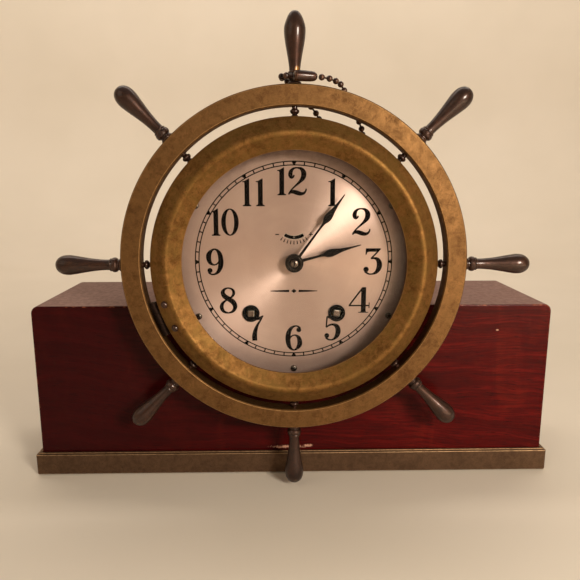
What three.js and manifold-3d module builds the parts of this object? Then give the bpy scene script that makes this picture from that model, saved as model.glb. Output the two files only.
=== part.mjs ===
// A ship's-wheel mantel clock: an eight-day strike clock in a brass drum, ringed by a small helm
// wheel and standing in a cradle cut into a mahogany block.
//
// Millimetres, +Z up. X runs along the block, the dial faces -Y. The origin is the middle of the
// footprint, on the surface that the felt rests on.
//
// The clock's own pieces are drawn in a "clock" group whose origin is the dial's centre, in the
// plane of the block's front face: x to the right, y backwards (so the dial's side is negative)
// and z up.

import * as THREE from "three";
import { mergeVertices } from "three/addons/utils/BufferGeometryUtils.js";
import Module from "manifold-3d";

const wasm = await Module();
wasm.setup();

// ---------------------------------------------------------------- driving dimensions

const GAP = 0.3; // between pieces that touch in the real object

const BLOCK_WIDTH = 299;
const BLOCK_DEPTH = 79;
const BLOCK_TOP = 102.5;
const BLOCK_CORNER = 4.5;
const FELT_THICKNESS = 1.2;
const MOULDING_THICKNESS = 2.7;
const MOULDING_BOTTOM = 0.8;
const MOULDING_TOP = 13.9;

const DIAL_Z = 128.8; // the dial's centre above the surface
const BEZEL_FRONT = -28; // the bezel's ridge, in front of the block's face
const BLOCK_FRONT_Y = -(BLOCK_DEPTH + BEZEL_FRONT) / 2; // puts the origin midway in depth

const DRUM_RADIUS = 72;
const DRUM_WALL = 2.5;
const DRUM_FRONT = -20.6;
const DRUM_BACK = 47;
const CRADLE_RADIUS = 72.6;

const RING_OUTER = 91.4;
const RING_INNER = 80.9;
const RING_FRONT = -22;
const RING_BACK = -13;
const WHEEL_Y = (RING_FRONT + RING_BACK) / 2;
const SPOKES = 8;
const HANDLE_LENGTH = 34.5;
const STUD_RADIUS = 1.4;

const DIAL_FRONT = -8;
const DIAL_THICKNESS = 1;
const DIAL_SCREW_CIRCLE = 61.2;
const DIAL_SCREWS = 6;
const LEDGE_FRONT = DIAL_FRONT + DIAL_THICKNESS + GAP;
const LEDGE_BACK = -3;
const LEDGE_RADIUS = 58.8;

const WINDING_X = 23.9;
const WINDING_Z = -29;
const WINDING_SQUARE = 3.6;
const ARBOR_RADIUS = 2.5;

const MINUTE_LENGTH = 45.4;
const MINUTE_ANGLE = 36; // clockwise from twelve, at rest
const HOUR_LENGTH = 37.5;
const HOUR_ANGLE = 75;
const MINUTE_HAND_FRONT = -15.4;
const HOUR_HAND_FRONT = -12.6;
const HAND_THICKNESS = 0.8;
const HUB_RADIUS = 4.9;
const CENTRE_ARBOR_RADIUS = 1.5;

// Motion work: 12 to 36 teeth, then 10 to 40, is twelve turns of the minute hand to one of the hour's
const MOTION_DISTANCE = 12;
const CANNON_TEETH = 12;
const MINUTE_WHEEL_TEETH = 36;
const MINUTE_PINION_TEETH = 10;
const HOUR_WHEEL_TEETH = 40;

const REGULATOR_Z = 22.7; // the balance staff's height above the dial's centre
const REGULATOR_RADIUS = 9.4;
const REGULATOR_HALF_ANGLE = 33;

const FRONT_PLATE = 0;
const BACK_PLATE = 30;
const PLATE_THICKNESS = 2;
const PLATE_RADIUS = 55;

const BARREL_RADIUS = 19.2;
const BARREL_FRONT = 7;
const BARREL_BACK = 25;
const GREAT_WHEEL_TEETH = 32;
const SPRING_TURNS = 3;

const HAMMER_X = 40.8;
const HAMMER_Z = 30.6;

const HINGE_ANGLE = 201.8; // anticlockwise from three o'clock
const HINGE_RADIUS = 78;
const HINGE_Y = -20.3;
const HINGE_HALF_LENGTH = 9.5;
const KNUCKLE_RADIUS = 1.7;
const RIVET_SPREAD = 5.5; // degrees each side of the hinge's middle
const RIVET_TILT = 37; // the bezel's outer slope leans this far from the dial's plane
const RIVET_RADIUS = 71;
const RIVET_Y = -25.84;

const CHAIN_DIAMETER = 3.2;

const ROUND = 48; // facets round the case, ring and bezel

// ---------------------------------------------------------------- materials

function metal(color, roughness) {
  return new THREE.MeshStandardMaterial({ color, roughness, metalness: 1 });
}

function plain(color, roughness) {
  return new THREE.MeshStandardMaterial({ color, roughness, metalness: 0 });
}

const agedBrass = metal(0x8a6a35, 0.42);
const bronze = metal(0x4a3428, 0.35);
const silvered = metal(0xcdb8a8, 0.4);
const blackSteel = metal(0x1c1a1a, 0.4);
const brightSteel = metal(0x9a9690, 0.35);
const movementBrass = metal(0xb08d45, 0.35);
const moulding = metal(0x54402c, 0.5);
const mahogany = plain(0x4a120e, 0.35);
const felt = plain(0x1f3a2a, 0.95);
const blackPlastic = plain(0x0c0c0c, 0.4);
const clearGlass = new THREE.MeshStandardMaterial({
  color: 0xf4f6f4,
  roughness: 0.05,
  metalness: 0,
  transparent: true,
  opacity: 0.15,
});

// ---------------------------------------------------------------- geometry helpers

const radians = THREE.MathUtils.degToRad;

// A closed geometry as a manifold solid
function solid(geometry) {
  const bare = geometry.clone();
  bare.deleteAttribute("normal");
  bare.deleteAttribute("uv");
  const merged = mergeVertices(bare, 1e-4);
  return new wasm.Manifold(
    new wasm.Mesh({
      numProp: 3,
      vertProperties: new Float32Array(merged.attributes.position.array),
      triVerts: new Uint32Array(merged.index.array),
    }),
  );
}

// A manifold solid back as a geometry
function geometryOf(body) {
  const mesh = body.getMesh();
  const geometry = new THREE.BufferGeometry();
  geometry.setAttribute("position", new THREE.BufferAttribute(mesh.vertProperties, 3));
  geometry.setIndex(new THREE.BufferAttribute(mesh.triVerts, 1));
  geometry.computeVertexNormals();
  return geometry;
}

function join(...geometries) {
  return geometryOf(geometries.map(solid).reduce((whole, next) => whole.add(next)));
}

function cut(geometry, ...tools) {
  return geometryOf(tools.map(solid).reduce((whole, tool) => whole.subtract(tool), solid(geometry)));
}

// A body of revolution about Y, from [radius, y] pairs
function turned(profile, facets) {
  const points = profile.map(([radius, y]) => new THREE.Vector2(radius, y));
  return new THREE.LatheGeometry(points, facets);
}

// The same profile as a closed ring, its last point joined to its first
function turnedRing(profile, facets) {
  return turned([...profile, profile[0]], facets);
}

// A round rod along Y
function rod(radius, front, back, x = 0, z = 0, facets = 16) {
  const geometry = new THREE.CylinderGeometry(radius, radius, back - front, facets);
  return geometry.translate(x, (front + back) / 2, z);
}

// A box from its lowest to its highest corner
function block(low, high) {
  const size = high.map((value, axis) => value - low[axis]);
  const centre = high.map((value, axis) => (value + low[axis]) / 2);
  return new THREE.BoxGeometry(...size).translate(...centre);
}

// A shape drawn in x and z, as thick as given, its front face at y = front
function plate(shape, front, thickness, curveSegments = 8) {
  const geometry = new THREE.ExtrudeGeometry(shape, { depth: thickness, bevelEnabled: false, curveSegments });
  return geometry.rotateX(Math.PI / 2).translate(0, front + thickness, 0);
}

// Turns a geometry built round +Z to face the angle given, anticlockwise from three o'clock
function facing(geometry, degrees) {
  return geometry.rotateY(Math.PI / 2 - radians(degrees));
}

// A round rod pointing away from the dial's centre, at the wheel's middle depth
function radialRod(radius, inner, outer, degrees) {
  const geometry = new THREE.CylinderGeometry(radius, radius, outer - inner, 8);
  geometry.rotateX(Math.PI / 2).translate(0, WHEEL_Y, (inner + outer) / 2);
  return facing(geometry, degrees);
}

// The corners of a round outline with the number of sides given
function roundPoints(x, z, radius, sides) {
  const points = [];
  for (let i = 0; i < sides; i += 1) {
    const angle = (2 * Math.PI * i) / sides;
    points.push(new THREE.Vector2(x + radius * Math.cos(angle), z + radius * Math.sin(angle)));
  }
  return points;
}

function roundHole(x, z, radius, sides) {
  return new THREE.Path(roundPoints(x, z, radius, sides).reverse());
}

function onCircle(radius, degrees) {
  return [radius * Math.cos(radians(degrees)), radius * Math.sin(radians(degrees))];
}

// The outline of a toothed wheel, one tooth centred on firstTooth (radians)
function gearShape(teeth, pitchRadius, firstTooth) {
  const module_ = (2 * pitchRadius) / teeth;
  const root = pitchRadius - 1.25 * module_;
  const tip = pitchRadius + 0.8 * module_;
  const pitchAngle = (2 * Math.PI) / teeth;
  const corners = [
    [root, -0.3],
    [tip, -0.1],
    [tip, 0.1],
    [root, 0.3],
  ];
  const points = [];
  for (let tooth = 0; tooth < teeth; tooth += 1) {
    for (const [radius, share] of corners) {
      const angle = firstTooth + (tooth + share) * pitchAngle;
      points.push(new THREE.Vector2(radius * Math.cos(angle), radius * Math.sin(angle)));
    }
  }
  return new THREE.Shape(points);
}

// A strip of even thickness along a bent path of [x, y] points
function stripShape(path, thickness) {
  const half = thickness / 2;
  const points = path.map(([x, y]) => new THREE.Vector2(x, y));
  const left = [];
  const right = [];
  points.forEach((point, i) => {
    const before = points[Math.max(i - 1, 0)];
    const after = points[Math.min(i + 1, points.length - 1)];
    const inward = point.clone().sub(before).normalize();
    const outward = after.clone().sub(point).normalize();
    const along = inward.add(outward).normalize();
    const leg = (i === 0 ? after.clone().sub(point) : point.clone().sub(before)).normalize();
    const side = new THREE.Vector2(-along.y, along.x).multiplyScalar(half / Math.max(along.dot(leg), 0.3));
    left.push(point.clone().add(side));
    right.unshift(point.clone().sub(side));
  });
  return new THREE.Shape([...left, ...right]);
}

const clock = new THREE.Group();
clock.position.set(0, BLOCK_FRONT_Y, DIAL_Z);
const base = new THREE.Group();
base.position.set(0, BLOCK_FRONT_Y, 0);

function add(group, name, geometry, material) {
  const mesh = new THREE.Mesh(geometry, material);
  mesh.name = name;
  group.add(mesh);
  return mesh;
}

// ---------------------------------------------------------------- the base

const BOLT_Y = 20;
const BOLT_HEAD_TOP = 15.7;
const BOLT_END = DIAL_Z - DRUM_RADIUS + DRUM_WALL + 1;
const BLOCK_BOTTOM = FELT_THICKNESS + GAP;

// The block's front outline, with the round cradle cut down from its top
function blockShape() {
  const half = BLOCK_WIDTH / 2;
  const drop = DIAL_Z - BLOCK_TOP;
  const mouth = Math.sqrt(CRADLE_RADIUS ** 2 - drop ** 2);
  const cradleEdge = Math.asin(drop / CRADLE_RADIUS);
  const shape = new THREE.Shape();
  shape.moveTo(-half, BLOCK_BOTTOM);
  shape.lineTo(half, BLOCK_BOTTOM);
  shape.absarc(half - BLOCK_CORNER, BLOCK_TOP - BLOCK_CORNER, BLOCK_CORNER, 0, Math.PI / 2, false);
  shape.lineTo(mouth, BLOCK_TOP);
  shape.absarc(0, DIAL_Z, CRADLE_RADIUS, -cradleEdge, Math.PI + cradleEdge, true);
  shape.absarc(BLOCK_CORNER - half, BLOCK_TOP - BLOCK_CORNER, BLOCK_CORNER, Math.PI / 2, Math.PI, false);
  return shape;
}

function uprightRod(radius, bottom, top) {
  const geometry = new THREE.CylinderGeometry(radius, radius, top - bottom, 16).rotateX(Math.PI / 2);
  return geometry.translate(0, BOLT_Y, (bottom + top) / 2);
}

function addBase() {
  const body = plate(blockShape(), 0, BLOCK_DEPTH, 12);
  const counterbore = uprightRod(7.5, 0, BOLT_HEAD_TOP + GAP);
  const boltHole = uprightRod(2.6, 10, DIAL_Z - CRADLE_RADIUS + 5);
  add(base, "base_block", cut(body, counterbore, boltHole), mahogany);

  const bolt = turned(
    [
      [0, 11.5],
      [5.4, 11.5],
      [6, 12.1],
      [6, BOLT_HEAD_TOP],
      [2.2, BOLT_HEAD_TOP],
      [2.2, BOLT_END],
      [0, BOLT_END],
    ],
    12,
  );
  bolt.rotateX(Math.PI / 2).translate(0, BOLT_Y, 0);
  add(base, "case_bolt", bolt, brightSteel);

  const inner = BLOCK_WIDTH / 2 + GAP;
  const outer = inner + MOULDING_THICKNESS;
  const front = -GAP - MOULDING_THICKNESS;
  const strip = new THREE.Shape();
  strip.moveTo(-outer, BLOCK_DEPTH);
  strip.lineTo(-outer, front + 1);
  strip.lineTo(1 - outer, front);
  strip.lineTo(outer - 1, front);
  strip.lineTo(outer, front + 1);
  strip.lineTo(outer, BLOCK_DEPTH);
  strip.lineTo(inner, BLOCK_DEPTH);
  strip.lineTo(inner, -GAP);
  strip.lineTo(-inner, -GAP);
  strip.lineTo(-inner, BLOCK_DEPTH);
  const depth = MOULDING_TOP - MOULDING_BOTTOM;
  const mouldingGeometry = new THREE.ExtrudeGeometry(strip, { depth, bevelEnabled: false });
  add(base, "base_moulding", mouldingGeometry.translate(0, 0, MOULDING_BOTTOM), moulding);

  const edge = BLOCK_WIDTH / 2 - 0.5;
  const pad = block([-edge, 0.5, 0], [edge, BLOCK_DEPTH - 0.5, FELT_THICKNESS]);
  add(base, "felt_sheet", pad, felt);
}

// ---------------------------------------------------------------- the case and the wheel

// A brass cup, open to the front, with an inner ledge that the dial is screwed to
function addDrum() {
  const inner = DRUM_RADIUS - DRUM_WALL;
  const cup = turned(
    [
      [0, DRUM_BACK - 2],
      [inner, DRUM_BACK - 2],
      [inner, LEDGE_BACK],
      [LEDGE_RADIUS, LEDGE_BACK],
      [LEDGE_RADIUS, LEDGE_FRONT],
      [inner, LEDGE_FRONT],
      [inner, DRUM_FRONT],
      [DRUM_RADIUS, DRUM_FRONT],
      [DRUM_RADIUS, DRUM_BACK],
      [0, DRUM_BACK],
    ],
    ROUND,
  );
  const tools = [];
  for (let i = 0; i < SPOKES; i += 1) {
    tools.push(radialRod(STUD_RADIUS + GAP, inner - 2, DRUM_RADIUS + 2, i * 45));
  }
  for (let i = 0; i < DIAL_SCREWS; i += 1) {
    const [x, z] = onCircle(DIAL_SCREW_CIRCLE, 90 - i * 60);
    tools.push(rod(1.35, LEDGE_FRONT - 1, LEDGE_BACK + 1, x, z, 8));
  }
  const boltHole = uprightRod(2.5, -DRUM_RADIUS - 3, -inner + 3);
  tools.push(boltHole);
  const leafNotch = block([inner - 1, DRUM_FRONT - 1, -10], [DRUM_RADIUS + 1, DRUM_FRONT + 1.3, 10]);
  tools.push(leafNotch.rotateY(-radians(HINGE_ANGLE)));
  add(clock, "case_drum", cut(cup, ...tools), agedBrass);
}

function addRing() {
  const chamfer = 0.6;
  const ring = turnedRing(
    [
      [RING_INNER, RING_FRONT + chamfer],
      [RING_INNER + chamfer, RING_FRONT],
      [RING_OUTER - chamfer, RING_FRONT],
      [RING_OUTER, RING_FRONT + chamfer],
      [RING_OUTER, RING_BACK],
      [RING_INNER, RING_BACK],
    ],
    ROUND,
  );
  const holes = [];
  for (let i = 0; i < SPOKES; i += 1) {
    holes.push(radialRod(STUD_RADIUS + GAP, RING_INNER - 2, RING_OUTER + 2, i * 45));
  }
  add(clock, "wheel_ring", cut(ring, ...holes), agedBrass);
}

// One turned handle: its stud goes into the ring, then foot, cove, collar, neck and bulb
function handleGeometry() {
  const foot = RING_OUTER + GAP;
  const handle = turned(
    [
      [0, 84],
      [STUD_RADIUS, 84],
      [STUD_RADIUS, foot],
      [3.6, foot],
      [3.6, foot + 2.4],
      [2.9, foot + 3.2],
      [3.75, foot + 5.3],
      [2.95, foot + 7.7],
      [3.3, foot + 14],
      [4.1, foot + 20.5],
      [4.9, foot + 27.5],
      [4.3, foot + 31.4],
      [2.6, foot + 33.6],
      [0, RING_OUTER + HANDLE_LENGTH],
    ],
    8,
  );
  return handle.rotateX(Math.PI / 2);
}

// One turned spindle between the case and the ring, with a stud at each end
function spindleGeometry() {
  const caseEnd = DRUM_RADIUS + GAP;
  const ringEnd = RING_INNER - GAP;
  const middle = (caseEnd + ringEnd) / 2;
  const spindle = turned(
    [
      [0, 70.2],
      [STUD_RADIUS, 70.2],
      [STUD_RADIUS, middle - 1.9],
      [2.3, middle - 0.9],
      [1.5, middle],
      [2.3, middle + 0.9],
      [STUD_RADIUS, middle + 1.9],
      [STUD_RADIUS, 83.7],
      [0, 83.7],
    ],
    6,
  );
  return spindle.rotateX(Math.PI / 2);
}

// Spoke 1 stands at twelve o'clock and they are numbered clockwise
function addSpokes() {
  for (let i = 0; i < SPOKES; i += 1) {
    const handle = add(clock, `wheel_handle_${i + 1}`, handleGeometry(), bronze);
    const spindle = add(clock, `wheel_spindle_${i + 1}`, spindleGeometry(), bronze);
    for (const mesh of [handle, spindle]) {
      mesh.position.y = WHEEL_Y;
      mesh.rotation.y = radians(i * 45);
    }
  }
}

// ---------------------------------------------------------------- the bezel and its hinge

const GLASS_FRONT = -21.2;
const GLASS_THICKNESS = 1.8;

// A tool or rivet along the bezel's outer slope, t measured inwards from the surface
function onRivetAxis(geometry, side) {
  geometry.rotateZ(radians(RIVET_TILT)).translate(RIVET_RADIUS, RIVET_Y, 0);
  return geometry.rotateY(-radians(HINGE_ANGLE + side * RIVET_SPREAD));
}

function rivetHole(side) {
  return onRivetAxis(rod(0.8 + GAP, -1.5, 5.5, 0, 0, 8), side);
}

// A hollow-backed ring: outer slope, ridge, inner slope, and a lip that the glass sits behind
function addBezel() {
  const bezel = turnedRing(
    [
      [72.6, -21],
      [67.6, -25],
      [66.4, -25],
      [66.4, -19.2],
      [62.8, -19.2],
      [62.8, GLASS_FRONT - GAP],
      [59.2, GLASS_FRONT - GAP],
      [59.2, -23],
      [66, -27.8],
      [67.2, BEZEL_FRONT],
      [68.4, -27.8],
      [75.7, -22.3],
      [75.7, -21],
    ],
    ROUND,
  );
  add(clock, "bezel", cut(bezel, rivetHole(-1), rivetHole(1)), agedBrass);

  const glass = rod(62.4, GLASS_FRONT, GLASS_FRONT + GLASS_THICKNESS, 0, 0, ROUND);
  add(clock, "bezel_glass", glass, clearGlass);

  const retainer = turnedRing(
    [
      [61, -18.9],
      [65.9, -18.9],
      [65.9, -18.1],
      [61, -18.1],
    ],
    32,
  );
  add(clock, "glass_retainer", retainer, agedBrass);

  [-1, 1].forEach((side, i) => {
    const rivet = turned(
      [
        [0, -1.3],
        [1.2, -1.05],
        [1.8, -GAP],
        [0.8, -GAP],
        [0.8, 4.4],
        [0, 4.4],
      ],
      8,
    );
    add(clock, `hinge_rivet_${i + 1}`, onRivetAxis(rivet, side), bronze);
  });
}

// A hinge piece is drawn with x away from the dial's centre and z along the pin
function alongPin(shape, from, to) {
  const geometry = new THREE.ExtrudeGeometry(shape, { depth: to - from, bevelEnabled: false });
  return geometry.translate(0, 0, from);
}

function pinRod(radius, from, to, facets = 12) {
  const geometry = new THREE.CylinderGeometry(radius, radius, to - from, facets).rotateX(Math.PI / 2);
  return geometry.translate(HINGE_RADIUS, HINGE_Y, (from + to) / 2);
}

function addHinge() {
  const pinHole = pinRod(1, -HINGE_HALF_LENGTH - 1, HINGE_HALF_LENGTH + 1);
  const caseHalf = 3;

  const bezelStrip = stripShape(
    [
      [HINGE_RADIUS, HINGE_Y],
      [71.6, HINGE_Y],
      [67.2, -23.81],
    ],
    0.8,
  );
  const bezelLeaf = join(
    alongPin(bezelStrip, -HINGE_HALF_LENGTH, HINGE_HALF_LENGTH),
    pinRod(KNUCKLE_RADIUS, -HINGE_HALF_LENGTH, HINGE_HALF_LENGTH),
  );
  const gapHalf = caseHalf + GAP;
  const room = block([75.8, HINGE_Y - 3, -gapHalf], [HINGE_RADIUS + 3, HINGE_Y + 3, gapHalf]);
  const bored = cut(bezelLeaf, pinHole, room).rotateY(-radians(HINGE_ANGLE));
  add(clock, "bezel_hinge_leaf", cut(bored, rivetHole(-1), rivetHole(1)), bronze);

  const caseStrip = stripShape(
    [
      [HINGE_RADIUS, HINGE_Y],
      [76.4, -17.6],
      [73, -16.2],
      [73, -8.5],
    ],
    0.9,
  );
  const caseLeaf = join(
    alongPin(caseStrip, -caseHalf, caseHalf),
    pinRod(KNUCKLE_RADIUS, -caseHalf, caseHalf),
  );
  add(clock, "case_hinge_leaf", cut(caseLeaf, pinHole).rotateY(-radians(HINGE_ANGLE)), bronze);

  const pin = pinRod(0.7, -HINGE_HALF_LENGTH - 0.4, HINGE_HALF_LENGTH + 0.4, 10);
  add(clock, "hinge_pin", pin.rotateY(-radians(HINGE_ANGLE)), bronze);
}

// ---------------------------------------------------------------- the dial

// The regulator's window: an arc-shaped slot about the balance staff
function regulatorSlot() {
  const half = 0.9;
  const from = radians(270 - REGULATOR_HALF_ANGLE);
  const to = radians(270 + REGULATOR_HALF_ANGLE);
  const slot = new THREE.Path();
  slot.absarc(0, REGULATOR_Z, REGULATOR_RADIUS + half, from, to, false);
  slot.absarc(0, REGULATOR_Z, REGULATOR_RADIUS - half, to, from, true);
  return slot;
}

function addDial() {
  const dial = new THREE.Shape(roundPoints(0, 0, DRUM_RADIUS - DRUM_WALL - 0.4, ROUND));
  dial.holes.push(roundHole(0, 0, 3.6, 14));
  dial.holes.push(roundHole(-WINDING_X, WINDING_Z, 4.3, 14));
  dial.holes.push(roundHole(WINDING_X, WINDING_Z, 4.3, 14));
  dial.holes.push(regulatorSlot());
  for (let i = 0; i < DIAL_SCREWS; i += 1) {
    const [x, z] = onCircle(DIAL_SCREW_CIRCLE, 90 - i * 60);
    dial.holes.push(roundHole(x, z, 1.35, 8));
    const screw = turned(
      [
        [0, -9.5],
        [1.3, -9.25],
        [2.2, -8.3],
        [1, -8.3],
        [1, LEDGE_BACK - 0.6],
        [0, LEDGE_BACK - 0.6],
      ],
      8,
    );
    add(clock, `dial_screw_${i + 1}`, screw.translate(x, 0, z), brightSteel);
  }
  add(clock, "dial_plate", plate(dial, DIAL_FRONT, DIAL_THICKNESS, 5), silvered);

  const sides = { left: -1, right: 1 };
  for (const [name, side] of Object.entries(sides)) {
    const grommet = turnedRing(
      [
        [3.4, -8.9],
        [4.8, -8.9],
        [4.8, -8.3],
        [3.95, -8.3],
        [3.95, -6.8],
        [3.4, -6.8],
      ],
      12,
    );
    add(clock, `winding_grommet_${name}`, grommet.translate(side * WINDING_X, 0, WINDING_Z), blackPlastic);
  }
}

// A hand along +Z: hub, thin shaft and a leaf that tapers to the tip, as [distance, half width]
function handShape(edge, hole) {
  const shape = new THREE.Shape();
  const start = radians(82);
  shape.absarc(0, 0, HUB_RADIUS, Math.PI - start, start, false);
  edge.forEach(([distance, half]) => shape.lineTo(half, distance));
  [...edge].reverse().forEach(([distance, half]) => shape.lineTo(-half, distance));
  shape.holes.push(roundHole(0, 0, hole, 12));
  return shape;
}

function addHands() {
  const minuteEdge = [
    [26, 0.75],
    [29.5, 2],
    [31.5, 1.9],
    [37, 0.8],
    [MINUTE_LENGTH, 0.2],
  ];
  const hourEdge = [
    [15, 0.8],
    [19.5, 2.1],
    [22, 2.1],
    [29, 0.8],
    [HOUR_LENGTH, 0.2],
  ];
  const hole = CENTRE_ARBOR_RADIUS + GAP;
  const minute = plate(handShape(minuteEdge, hole), MINUTE_HAND_FRONT, HAND_THICKNESS, 10);
  const hour = plate(handShape(hourEdge, hole), HOUR_HAND_FRONT, HAND_THICKNESS, 10);
  add(clock, "minute_hand", minute.rotateY(radians(MINUTE_ANGLE)), blackSteel);
  add(clock, "hour_hand", hour.rotateY(radians(HOUR_ANGLE)), blackSteel);

  const nut = turned(
    [
      [0, -17.1],
      [1.2, -17],
      [2.6, MINUTE_HAND_FRONT - GAP - 0.4],
      [2.6, MINUTE_HAND_FRONT - GAP],
      [0, MINUTE_HAND_FRONT - GAP],
    ],
    12,
  );
  add(clock, "hand_nut", nut, brightSteel);
}

// ---------------------------------------------------------------- the movement

const CANNON_RADIUS = (MOTION_DISTANCE * CANNON_TEETH) / (CANNON_TEETH + MINUTE_WHEEL_TEETH);
const PINION_RADIUS = (MOTION_DISTANCE * MINUTE_PINION_TEETH) / (MINUTE_PINION_TEETH + HOUR_WHEEL_TEETH);

// A toothed wheel about the Y axis; firstTooth in radians
function gear(teeth, pitchRadius, firstTooth, front, thickness) {
  return plate(gearShape(teeth, pitchRadius, firstTooth), front, thickness);
}

// Cannon pinion, minute wheel and hour wheel. The minute wheel turns on a stud left of the centre,
// so the pinions' teeth point along X and the wheels' gaps meet them.
function addMotionWork() {
  const cannonTooth = Math.PI;
  const wheelGap = Math.PI / MINUTE_WHEEL_TEETH;
  const hourGap = Math.PI + Math.PI / HOUR_WHEEL_TEETH;

  const arbor = join(
    rod(CENTRE_ARBOR_RADIUS, MINUTE_HAND_FRONT, BACK_PLATE - GAP, 0, 0, 12),
    gear(CANNON_TEETH, CANNON_RADIUS, cannonTooth, -3.4, 2.4),
  );
  add(clock, "centre_arbor", arbor, brightSteel);

  const wheelRadius = MOTION_DISTANCE - CANNON_RADIUS;
  const minuteWheel = cut(
    join(
      gear(MINUTE_WHEEL_TEETH, wheelRadius, wheelGap, -3.1, 1.8),
      gear(MINUTE_PINION_TEETH, PINION_RADIUS, 0, -6.2, 3.4),
    ),
    rod(1.3, -8, 0, 0, 0, 12),
  );
  add(clock, "minute_wheel", minuteWheel.translate(-MOTION_DISTANCE, 0, 0), movementBrass);

  const hourWheel = cut(
    join(
      gear(HOUR_WHEEL_TEETH, MOTION_DISTANCE - PINION_RADIUS, hourGap, -5.9, 1.7),
      rod(3, HOUR_HAND_FRONT + HAND_THICKNESS + GAP, -4.5, 0, 0, 16),
    ),
    rod(CENTRE_ARBOR_RADIUS + 0.4, -20, 0, 0, 0, 16),
  );
  add(clock, "hour_wheel", hourWheel, movementBrass);
}

function addRegulator() {
  const front = -5.6;
  const thickness = 0.8;
  const arm = block([-0.8, front, -REGULATOR_RADIUS - 0.9], [0.8, front + thickness, 0]);
  const peg = rod(0.5, DIAL_FRONT - 0.2, front + thickness, 0, -REGULATOR_RADIUS, 8);
  const boss = rod(2.6, front, front + thickness, 0, 0, 12);
  const hole = rod(1 + GAP, front - 1, front + 2, 0, 0, 12);
  const lever = cut(join(boss, arm, peg), hole);
  add(clock, "regulator_lever", lever.translate(0, 0, REGULATOR_Z), brightSteel);
}

// Front plate with the posts that the dial stands on and the studs of the motion work; back plate
// with the four riveted pillars and the bell's stud
function addPlates() {
  const windingHoles = [-1, 1].map((side) => {
    return rod(ARBOR_RADIUS + 0.4, -5, 40, side * WINDING_X, WINDING_Z, 12);
  });
  const hammerHole = rod(1.2 + GAP, -5, 40, HAMMER_X, HAMMER_Z, 8);
  const centreHole = rod(CENTRE_ARBOR_RADIUS + 0.4, -5, 10, 0, 0, 12);

  const posts = [30, 150, 270].map((degrees) => {
    const [x, z] = onCircle(50, degrees);
    return rod(2.5, LEDGE_FRONT, FRONT_PLATE + 1, x, z, 8);
  });
  const front = join(
    rod(PLATE_RADIUS, FRONT_PLATE, FRONT_PLATE + PLATE_THICKNESS, 0, 0, 28),
    ...posts,
    rod(1, -6.4, FRONT_PLATE + 1, -MOTION_DISTANCE, 0, 8),
    rod(1, -5.9, FRONT_PLATE + 1, 0, REGULATOR_Z, 8),
  );
  const frontPlate = cut(front, ...windingHoles, centreHole, hammerHole);
  add(clock, "movement_front_plate", frontPlate, movementBrass);

  const pillars = [5, 90, 175, 270].map((degrees) => {
    const [x, z] = onCircle(50, degrees);
    return rod(3, FRONT_PLATE + PLATE_THICKNESS + GAP, BACK_PLATE + 1, x, z, 10);
  });
  const back = join(
    rod(PLATE_RADIUS, BACK_PLATE, BACK_PLATE + PLATE_THICKNESS, 0, 0, 28),
    ...pillars,
    rod(2, BACK_PLATE + 1, 43.6, 0, 0, 10),
  );
  add(clock, "movement_back_plate", cut(back, ...windingHoles, hammerHole), movementBrass);
}

// A flat spiral strip, as a mainspring lies in its barrel
function springGeometry() {
  const inner = 3.3;
  const outer = 17;
  const thickness = 0.5;
  const steps = SPRING_TURNS * 12;
  const points = [];
  for (const offset of [0, thickness]) {
    const edge = [];
    for (let i = 0; i <= steps; i += 1) {
      const turn = (i / steps) * SPRING_TURNS * 2 * Math.PI;
      const radius = inner + ((outer - inner) * i) / steps + offset;
      edge.push(new THREE.Vector2(radius * Math.cos(turn), radius * Math.sin(turn)));
    }
    points.push(...(offset ? edge.reverse() : edge));
  }
  return plate(new THREE.Shape(points), BARREL_FRONT + 2.5, BARREL_BACK - BARREL_FRONT - 3);
}

// A going barrel (an open cup whose floor is the great wheel), its spring and its winding arbor
function addBarrel(train, side, squareTurn) {
  const x = side * WINDING_X;
  const cup = turned(
    [
      [0, BARREL_FRONT],
      [BARREL_RADIUS - 1.3, BARREL_FRONT],
      [BARREL_RADIUS, BARREL_FRONT],
      [BARREL_RADIUS, BARREL_BACK],
      [BARREL_RADIUS - 1.3, BARREL_BACK],
      [BARREL_RADIUS - 1.3, BARREL_FRONT + 2],
      [0, BARREL_FRONT + 2],
    ],
    20,
  );
  const greatWheel = gear(GREAT_WHEEL_TEETH, 19.6, 0, BARREL_FRONT, 2);
  const barrel = cut(join(cup, greatWheel), rod(ARBOR_RADIUS + 0.4, 0, 30, 0, 0, 12));
  add(clock, `${train}_barrel`, barrel.translate(x, 0, WINDING_Z), movementBrass);
  add(clock, `${train}_mainspring`, springGeometry().translate(x, 0, WINDING_Z), brightSteel);

  const half = WINDING_SQUARE / 2;
  const square = block([-half, -9.2, -half], [half, -3, half]);
  const arbor = join(rod(ARBOR_RADIUS, -4, BACK_PLATE + PLATE_THICKNESS + 1, 0, 0, 12), square);
  arbor.rotateY(radians(squareTurn)).translate(x, 0, WINDING_Z);
  add(clock, `${train}_winding_arbor`, arbor, brightSteel);
}

// The balance: rim, two arms and staff, between the plates behind the regulator
function addBalance() {
  const rim = turnedRing(
    [
      [7.6, 6],
      [9, 6],
      [9, 7.6],
      [7.6, 7.6],
    ],
    24,
  );
  const arms = block([-8, 6.2, -0.7], [8, 7.4, 0.7]);
  const staffEnd = BACK_PLATE - GAP;
  const staff = rod(0.8, FRONT_PLATE + PLATE_THICKNESS + GAP, staffEnd, 0, 0, 8);
  add(clock, "balance_wheel", join(rim, arms, staff).translate(0, 0, REGULATOR_Z), movementBrass);
}

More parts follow.
